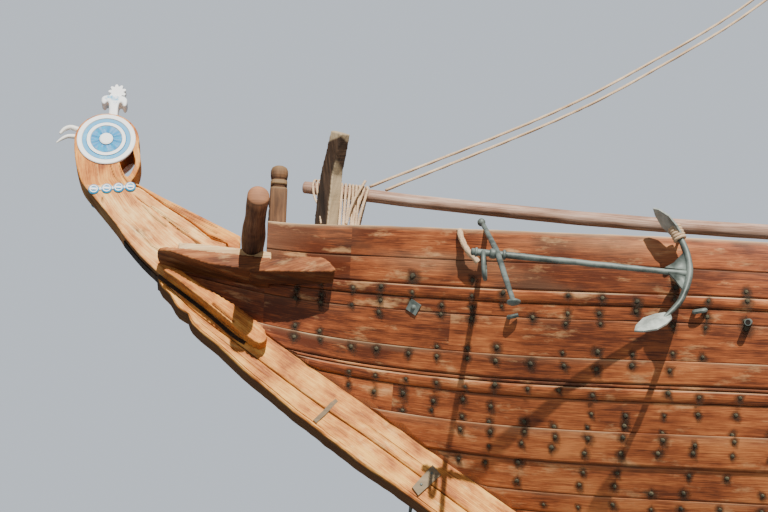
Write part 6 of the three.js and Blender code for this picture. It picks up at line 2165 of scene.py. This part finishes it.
def onLean(x, y, z):
    # From the frame of the rudder's pins, whose Z is their line, to the boat's.
    x += sternGear["offset"]
    return Vector((sternStation + x * cos(sternLean) + z * sin(sternLean), y,
                   -x * sin(sternLean) + z * cos(sternLean)))

def makeSternpost():
    parts = timberParts()
    runs = sorted(evenly(-1.70, sternGear["postTop"], 0.4) + [1.249, 1.251])
    for j, (low, high) in enumerate(((-0.13, -0.001), (0.001, 0.13))):
        addPlank(parts, lambda u, v, w: (sternStation + sternRake * u + v, w, u), runs, (0.0, sternGear["post"]),
                 (low, high),
                 (j, 1, 75), edge=0.014, limit=lambda u: (0.102 if u > 1.25 else 0.0, sternGear["post"]), seam=0.4)
    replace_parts(sawnPiece("stern_post_timber", parts, stemTimber), "sternpost")
    irons = timberParts()
    for z in sternGear["heights"]:
        rows = [(0.052, -0.062), (0.076, -0.062), (0.080, -0.05), (0.080, 0.05), (0.076, 0.062), (0.052, 0.062),
                (0.052, -0.062)]
        verts, faces, _ = turnedMesh([(*row, 0) for row in rows],
                                     lambda r, a, h: onLean(r * cos(a), r * sin(a), z + h), 20)
        addMesh(irons, verts, faces, [(v.x, v.z) for v in verts])
        for side in (-1, 1):
            addPlank(irons, lambda u, v, w: onLean(u, side * (0.058 + w), z + v), (-0.30, -0.12, -0.045),
                     (-0.05, 0.05),
                     (-0.016, 0.016), (1, side, 76), edge=0.005, seam=0.0)
    sawnPiece("rudder_gudgeons", irons, ironMaterial)

def makeRudder():
    parts = timberParts()
    heights = sternGear["heights"]
    runs = evenly(-2.05, 7.35, 0.4) + [-2.0, -1.95]
    for z in heights:
        runs += [z - 0.0745, z - 0.0735, z + 0.0735, z + 0.0745]
    runs = sorted(set(runs))

    def limit(u):
        notch = any(abs(u - z) < 0.074 for z in heights)
        return 0.21 if notch else 0.06, along(sternGear["blade"], u)
    for j, (a, b) in enumerate(((0.06, 0.36), (0.363, 0.70), (0.703, 1.06), (1.063, 1.5))):
        addPlank(parts, lambda u, v, w: onLean(v, w, u), runs, (a, b), (-0.074, 0.074), (j, 1, 77), edge=0.012,
                 limit=limit)
    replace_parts(sawnPiece("rudder_planks", parts, stemTimber, "rudder"), "rudder")
    irons = timberParts()
    for z in heights:
        pin = [onLean(0, 0, z + h) for h in (-0.108, -0.09, 0.0, 0.09, 0.147)]
        addSweep(irons, sweep(pin, [0.030, 0.043, 0.044, 0.044, 0.044], 14, up=(0, 1, 0)))
        reach = along(sternGear["blade"], z + 0.1) - 0.10
        for side in (-1, 1):
            addPlank(irons, lambda u, v, w: onLean(u, side * (0.079 + w), z + 0.106 + v), evenly(-0.035, reach,
                                                                                                 0.2),
                     (-0.04, 0.04), (-0.009, 0.009), (1, side, 78), edge=0.004, seam=0.0)
        addPlank(irons, lambda u, v, w: onLean(-0.037 + w, u, z + 0.106 + v), (-0.088, 0.0, 0.088), (-0.04, 0.04),
                 (0.0, 0.10), (2, 1, 78), edge=0.004, seam=0.0)
    sawnPiece("rudder_irons", irons, ironMaterial, "rudder")
    start = onLean(0.30, 0, 7.24)
    end = Vector((start.x - 3.10, 0, start.z + 0.12))
    route = [start.lerp(end, share) + Vector((0, 0, 0.05 * sin(share * pi))) for share in evenly(0, 1, 0.05)]
    piece = sweptPiece("tiller_arm", [sweep(route, taperOn(route, [(0, 0.072), (0.4, 0.062), (0.9, 0.044),
                                                                   (0.93, 0.050), (1, 0.050)]),
                                            14, dome=0.03)], darkTimber, "rudder", wobble=0.004)
    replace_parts(piece, "tiller")

for sideName, side in sides:
    makeQuarter(sideName, side)
makeBulkhead()
makeTransom()
makeSternpost()
makeRudder()
for nodeName in ("keel", "deadwood"):
    carried = bpy.data.objects[nodeName]
    carried.data.materials.clear()
    carried.data.materials.append(keelTimber)
    worn = carried.modifiers.new("worn", "BEVEL")
    worn.width = 0.02
    worn.segments = 2
    worn.limit_method = "ANGLE"
print("stern built")

# Masts, yards, furled sails and standing rigging

rig = {
    "main": {"mast": mainMast, "sling": 12.7, "radius": 0.13, "gap": 0.11, "fore": 7.4, "aft": 11.8, "sail": 0.165,
             "body": "main_yard", "deckAt": 0.035, "bands": (1.2, 3.6, 6.2, 8.8, 11.6)},
    "mizzen": {"mast": mizzenMast, "sling": 7.9, "radius": 0.085, "gap": 0.045, "fore": 4.3, "aft": 7.0,
               "sail": 0.11,
               "body": "mizzen_yard", "deckAt": 0.40, "bands": (1.3, 3.4, 5.6)},
    "slope": radians(57), "taper": [(-1.0, 0.55), (-0.5, 0.85), (0.0, 1.0), (0.5, 0.75), (1.0, 0.35)],
    "bulk": [(-0.9, 0.36), (-0.5, 0.82), (0.0, 1.0), (0.25, 0.93), (0.5, 0.78), (0.93, 0.28)], "gasket": 0.95,
}
yardAhead = Vector((cos(rig["slope"]), 0, sin(rig["slope"])))
yardBelow = Vector((sin(rig["slope"]), 0, -cos(rig["slope"])))

def ringOn(centre, axis, radius, count=24, turn=Vector((0, 1, 0))):
    right = turn.normalized()
    up = axis.cross(right).normalized()
    return [centre + right * (radius * cos(2 * pi * k / count)) + up * (radius * sin(2 * pi * k / count))
            for k in range(count + 1)]

def makeMast(name):
    plan = rig[name]
    mast = plan["mast"]
    heights = evenly(plan["deckAt"], mast["length"], 0.25)
    route = [onMast(mast, h) + Vector((0.006 * sin(h * 0.9), 0.005 * sin(h * 1.3 + 1), 0)) for h in heights]
    radii = [mastRadius(mast, h) * (1 + 0.015 * ripple(h * 1.4, 2, 3)) for h in heights]
    piece = sweptPiece(f"{name}_mast_spar", [sweep(route, radii, 24, dome=0.03, up=(0, 1, 0))], sparTimber,
                       wobble=0.003, wobbleAcross=4)
    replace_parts(piece, f"{name}_mast")
    axis = (onMast(mast, 1) - onMast(mast, 0)).normalized()
    bands = []
    for height in plan["bands"]:
        for k in range(6):
            h = height + 0.021 * k
            bands.append(sweep(ringOn(onMast(mast, h), axis, mastRadius(mast, h) + 0.010), [0.011] * 25, 7))
    sweptPiece(f"{name}_mast_bands", bands, darkRope)

def yardPoint(plan, s):
    hub = onMast(plan["mast"], plan["sling"])
    offset = mastRadius(plan["mast"], plan["sling"]) + plan["radius"] + plan["gap"]
    return Vector((hub.x, -offset, hub.z)) + yardAhead * s

def yardRadius(plan, s):
    return plan["radius"] * along(rig["taper"], s / (plan["fore"] if s < 0 else plan["aft"]))

def sailRadius(plan, s):
    return plan["sail"] * along(rig["bulk"], s / (plan["fore"] if s < 0 else plan["aft"]))

def clothMaterial(name, dark, light):
    material, tree, surface = newMaterial(name)
    vector = placeVector(tree)
    heights = []
    for direction in ("X", "Y"):
        threads = node(tree, "ShaderNodeTexWave", Scale=90.0, Distortion=1.2, Detail=1.0)
        threads.bands_direction = direction
        link(tree, vector, threads.inputs["Vector"])
        heights.append(threads.outputs["Fac"])
    folds = noiseOn(tree, vector, Scale=7.0, Detail=5.0, Roughness=0.6)
    stains = useGroup(tree, patchGroup, vector, Scale=2.2, Stretch=0.6, Amount=0.45)
    color = ramp(tree, folds, [(0.30, dark), (0.58, light)])
    color = mixColor(tree, times(tree, stains.outputs["Mask"], 0.45), color, rgb(150, 124, 92))
    # Darkening from the mesh: painted shade in the folds and creases.
    color = mixColor(tree, times(tree, attribute(tree, "cavity"), 0.7, clamp=True), color, rgb(96, 78, 58))
    link(tree, color, surface.inputs["Base Color"])
    surface.inputs["Roughness"].default_value = 0.95
    surface.inputs["Specular IOR Level"].default_value = 0.12
    weave = plus(tree, times(tree, plus(tree, *heights), 0.12), folds)
    bumpBy(tree, surface, weave, 0.6, 0.02)
    return material

sailCloth = clothMaterial("furledCotton", rgb(166, 146, 116), rgb(232, 218, 188))

def makeYard(name):
    plan = rig[name]
    body = plan["body"]
    runs = evenly(-plan["fore"], plan["aft"], 0.25)
    route = [yardPoint(plan, s) for s in runs]
    radii = [yardRadius(plan, s) * (1 + 0.02 * ripple(s * 1.1, 5, 1)) for s in runs]
    piece = sweptPiece(f"{name}_yard_spar", [sweep(route, radii, 20, dome=0.02, up=(0, 1, 0))], sparTimber,
                       body, wobble=0.003, wobbleAcross=4)
    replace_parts(piece, f"{name}_yard")

    # The furled sail: a bundle of folds drawn in by its gaskets.
    first, last = -0.9 * plan["fore"], 0.93 * plan["aft"]
    gaskets = evenly(first + 0.35, last - 0.35, rig["gasket"])
    steps, around = evenly(first, last, 0.05), 28
    verts, faces, flat, cavities = [], [], [], []
    for i, s in enumerate(steps):
        bulk = sailRadius(plan, s)
        nearest = min(abs(s - g) for g in gaskets)
        drawn = 1 - 0.20 * math.exp(-(nearest / 0.10) ** 2) + 0.05 * math.exp(-((nearest - 0.35) / 0.2) ** 2)
        centre = yardPoint(plan, s) + yardBelow * (yardRadius(plan, s) + bulk * 0.94)
        for k in range(around):
            angle = 2 * pi * k / around
            fold = 0.5 + 0.5 * sin(5 * angle + 1.3 * sin(s * 1.1) + 0.7 * s)
            crease = 0.5 + 0.5 * sin(9 * angle - 0.9 * s + 2.0 * ripple(s * 0.8, angle, 3))
            lump = ripple(s * 2.4, 2.2 * cos(angle), 2.2 * sin(angle))
            radius = bulk * drawn * (0.86 + 0.07 * fold + 0.04 * crease + 0.08 * lump)
            verts.append(centre + Vector((0, 1,
                                          0)) * (radius * 0.98 * cos(angle)) + yardBelow * (radius * sin(angle)))
            flat.append((s, angle * 0.16))
            # The fold and crease troughs and the parts drawn in by the gaskets are darkened: painted shade.
            cavities.append(min(1.0, 0.7 * (1 - fold) ** 3 + 0.35 * (1 - crease) ** 4 + 0.4 * (drawn < 0.9)))
    for i in range(len(steps) - 1):
        for k in range(around):
            j = (k + 1) % around
            faces.append((i * around + k, i * around + j, (i + 1) * around + j, (i + 1) * around + k))
    faces.append(tuple(range(around))[::-1])
    faces.append(tuple((len(steps) - 1) * around + k for k in range(around)))
    bundle = {"verts": verts, "faces": faces, "flat": flat, "tones": [0.5] * len(verts), "cavities": cavities,
              "greys": [0.0] * len(verts)}
    sail = sawnPiece(f"{name}_sail_bundle", bundle, sailCloth, body, smooth=True)
    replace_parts(sail, f"{name}_sail_furled")
    ties = []
    for g, s in enumerate(gaskets):
        for turn in range(3):
            at = s + 0.022 * (turn - 1)
            spar, bulk = yardRadius(plan, at), sailRadius(plan, at) * 0.80
            top = yardPoint(plan, at) - yardBelow * (spar + 0.008)
            low = yardPoint(plan, at) + yardBelow * (spar + sailRadius(plan, at) * 0.94 + bulk + 0.006)
            centre = (top + low) / 2
            wide = max(spar, bulk) + 0.012
            squeeze = (low - top).length / 2 / wide
            loop = [centre + Vector((0, 1, 0)) * (wide * math.copysign(abs(cos(a)) ** 0.8, cos(a)))
                    + yardBelow * (wide * squeeze * sin(a)) + yardAhead * (0.012 * sin(a + g))
                    for a in (2 * pi * k / 28 for k in range(29))]
            ties.append(sweep(loop, [0.0085] * 29, 6))
    sweptPiece(f"{name}_sail_gaskets", ties, ropeMaterial, body)

    # Parrel: rope strands with beads around the mast, seized to the yard.
    mast = plan["mast"]
    axis = (onMast(mast, 1) - onMast(mast, 0)).normalized()
    hub = onMast(mast, plan["sling"])
    inner = mastRadius(mast, plan["sling"] - 0.06) + 0.004
    offset = mastRadius(mast, plan["sling"]) + plan["radius"] + plan["gap"]
    strands = []
    for lift in (-0.036, 0.036):
        ring = ringOn(hub + axis * lift, axis, inner + 0.018, 32)
        strands.append(sweep(ring, [0.014] * 33, 8))
    for k in range(-3, 4):
        # Seizing turns around the yard beside the mast, and lacing between yard and strands.
        place = yardPoint(plan, 0.035 * k)
        strands.append(sweep(ringOn(place, yardAhead, plan["radius"] + 0.011, 24), [0.012] * 25, 7))
    for k in range(4):
        lift = -0.05 + 0.033 * k
        near = hub + axis * lift + Vector((0, -inner - 0.012, 0))
        far = hub + axis * lift + Vector((0, -offset + plan["radius"] * 0.9, 0))
        strands.append(sweep([near, near.lerp(far, 0.5), far], [0.013] * 3, 8))
    parrel = sweptPiece(f"{name}_parrel_ropes", strands, ropeMaterial, body)
    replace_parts(parrel, f"{name}_parrel")
    beads = []
    for k in range(14):
        a = pi * (k + 0.5) / 14
        centre = hub + Vector((0, 1, 0)) * ((inner + 0.030) * sin(a)) + axis.cross(Vector((0, 1,
                                                                                           0))) * ((inner + 0.030) * cos(a))
        beads.append(sweep([centre - axis * h for h in (0.030, 0.022, 0.0, -0.022, -0.030)], [0.010, 0.022, 0.026,
                                                                                              0.022, 0.010],
                           10, up=(0, 1, 0)))
    sweptPiece(f"{name}_parrel_beads", beads, darkTimber, body)

fans = [
    {"name": "main", "mast": mainMast, "height": 10.6, "feet": (1.9, 2.9, 3.7), "rise": 0.0, "inboard": 0.055},
    {"name": "mizzen", "mast": mizzenMast, "height": 6.9, "feet": (8.3, 9.3), "rise": quarterRise,
     "inboard": 0.084},
]

def makeShrouds(fan):
    ropes, blocks, irons = [], timberParts(), timberParts()
    mast = fan["mast"]
    axis = (onMast(mast, 1) - onMast(mast, 0)).normalized()
    for k in range(-3, 4):
        h = fan["height"] + 0.023 * k
        ropes.append(sweep(ringOn(onMast(mast, h), axis, mastRadius(mast, h) + 0.016, 24), [0.0135] * 25, 8))
    for _, side in sides:
        for i, x in enumerate(fan["feet"]):
            top = onMast(mast, fan["height"])
            top = Vector((top.x + 0.06 * (i - (len(fan["feet"]) - 1) / 2),
                          side * (mastRadius(mast, fan["height"]) + 0.034), top.z))
            foot = onHull(x, railAt(x) + fan["rise"], side, -fan["inboard"])
            ahead = (top - foot).normalized()
            upper, lower = foot + ahead * 0.95, foot + ahead * 0.22
            ropes.append(laidRope([top - ahead * 0.02, upper + ahead * 0.05], 0.0165, 0.05, 8, 0.11))
            # The end turned round the deadeye and seized
            out = Vector((0, side, 0)).cross(ahead).normalized()
            for centre, turned in ((upper, 1), (lower, -1)):
                loop = [centre + out * (0.074 * cos(a)) + ahead * (turned * 0.074 * sin(a))
                        for a in (pi * (-0.25 + 1.5 * k / 18) for k in range(19))]
                if turned > 0:
                    ropes.append(sweep(loop, [0.013] * 19, 7))
                face = out.cross(ahead).normalized()
                rows = [(0.0, -0.028), (0.045, -0.028), (0.062, -0.020), (0.066, -0.008), (0.060, 0.0),
                        (0.066, 0.008),
                        (0.062, 0.020), (0.045, 0.028), (0.0, 0.028)]
                verts, faces, _ = turnedMesh([(*row, 0) for row in rows], lambda r, a, h: centre
                                             + out * (r * cos(a)) + ahead * (r * sin(a)) + face * h, 16)
                addMesh(blocks, verts, faces, [(v.z, v.x) for v in verts], grey=0.3)
            for s in (-0.032, 0.0, 0.032):
                for near in (-0.031, 0.031):
                    face = out.cross(ahead).normalized()
                    ropes.append(sweep([lower + out * s + face * near, lower.lerp(upper,
                                                                                  0.5) + out * s * 0.9 + face * near * 0.8,
                                        upper + out * s + face * near], [0.0075] * 3, 6))
            ropes += [sweep(ringOn(upper + ahead * (0.11 + 0.09 * k + 0.014 * m), ahead, 0.024, 12, turn=out),
                            [0.006] * 13, 6)
                      for k in range(2) for m in range(4)]
            hoop = [lower + out * (0.072 * cos(a)) + ahead * (0.072 * sin(a))
                    for a in (2 * pi * k / 20 for k in range(21))]
            addSweep(irons, sweep(hoop, [0.009] * 21, 7))
            addPlank(irons, lambda u, v, w: foot + ahead * u + out * v + out.cross(ahead) * w,
                     (-0.012, 0.08, 0.150),
                     (-0.022, 0.022), (-0.008, 0.008), (i, side, 81), edge=0.003, seam=0.0)
    piece = sweptPiece(f"{fan['name']}_shroud_ropes", ropes, darkRope)
    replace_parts(piece, f"{fan['name']}_shrouds")
    sawnPiece(f"{fan['name']}_deadeyes", blocks, darkTimber, smooth=True)
    sawnPiece(f"{fan['name']}_shroud_irons", irons, ironMaterial)

for mastName in ("main", "mizzen"):
    makeMast(mastName)
    makeYard(mastName)
for fan in fans:
    makeShrouds(fan)
print("masts, sails and rigging built")

# Floor at the waterline
floorMaterial, floorTree, floorSurface = newMaterial("paleFloor")
floorPath = floorTree.nodes.new("ShaderNodeLightPath").outputs["Is Camera Ray"]
link(floorTree, mixColor(floorTree, floorPath, (0.25, 0.27, 0.28), (0.78, 0.77, 0.75)),
     floorSurface.inputs["Base Color"])
floorSurface.inputs["Roughness"].default_value = 0.9
floorMesh = bpy.data.meshes.new("floor")
floorMesh.from_pydata([(-120, -120, 0), (120, -120, 0), (120, 120, 0), (-120, 120, 0)], [], [(0, 1, 2, 3)])
floorMesh.materials.append(floorMaterial)
floor = bpy.data.objects.new("floor", floorMesh)
bpy.context.scene.collection.objects.link(floor)
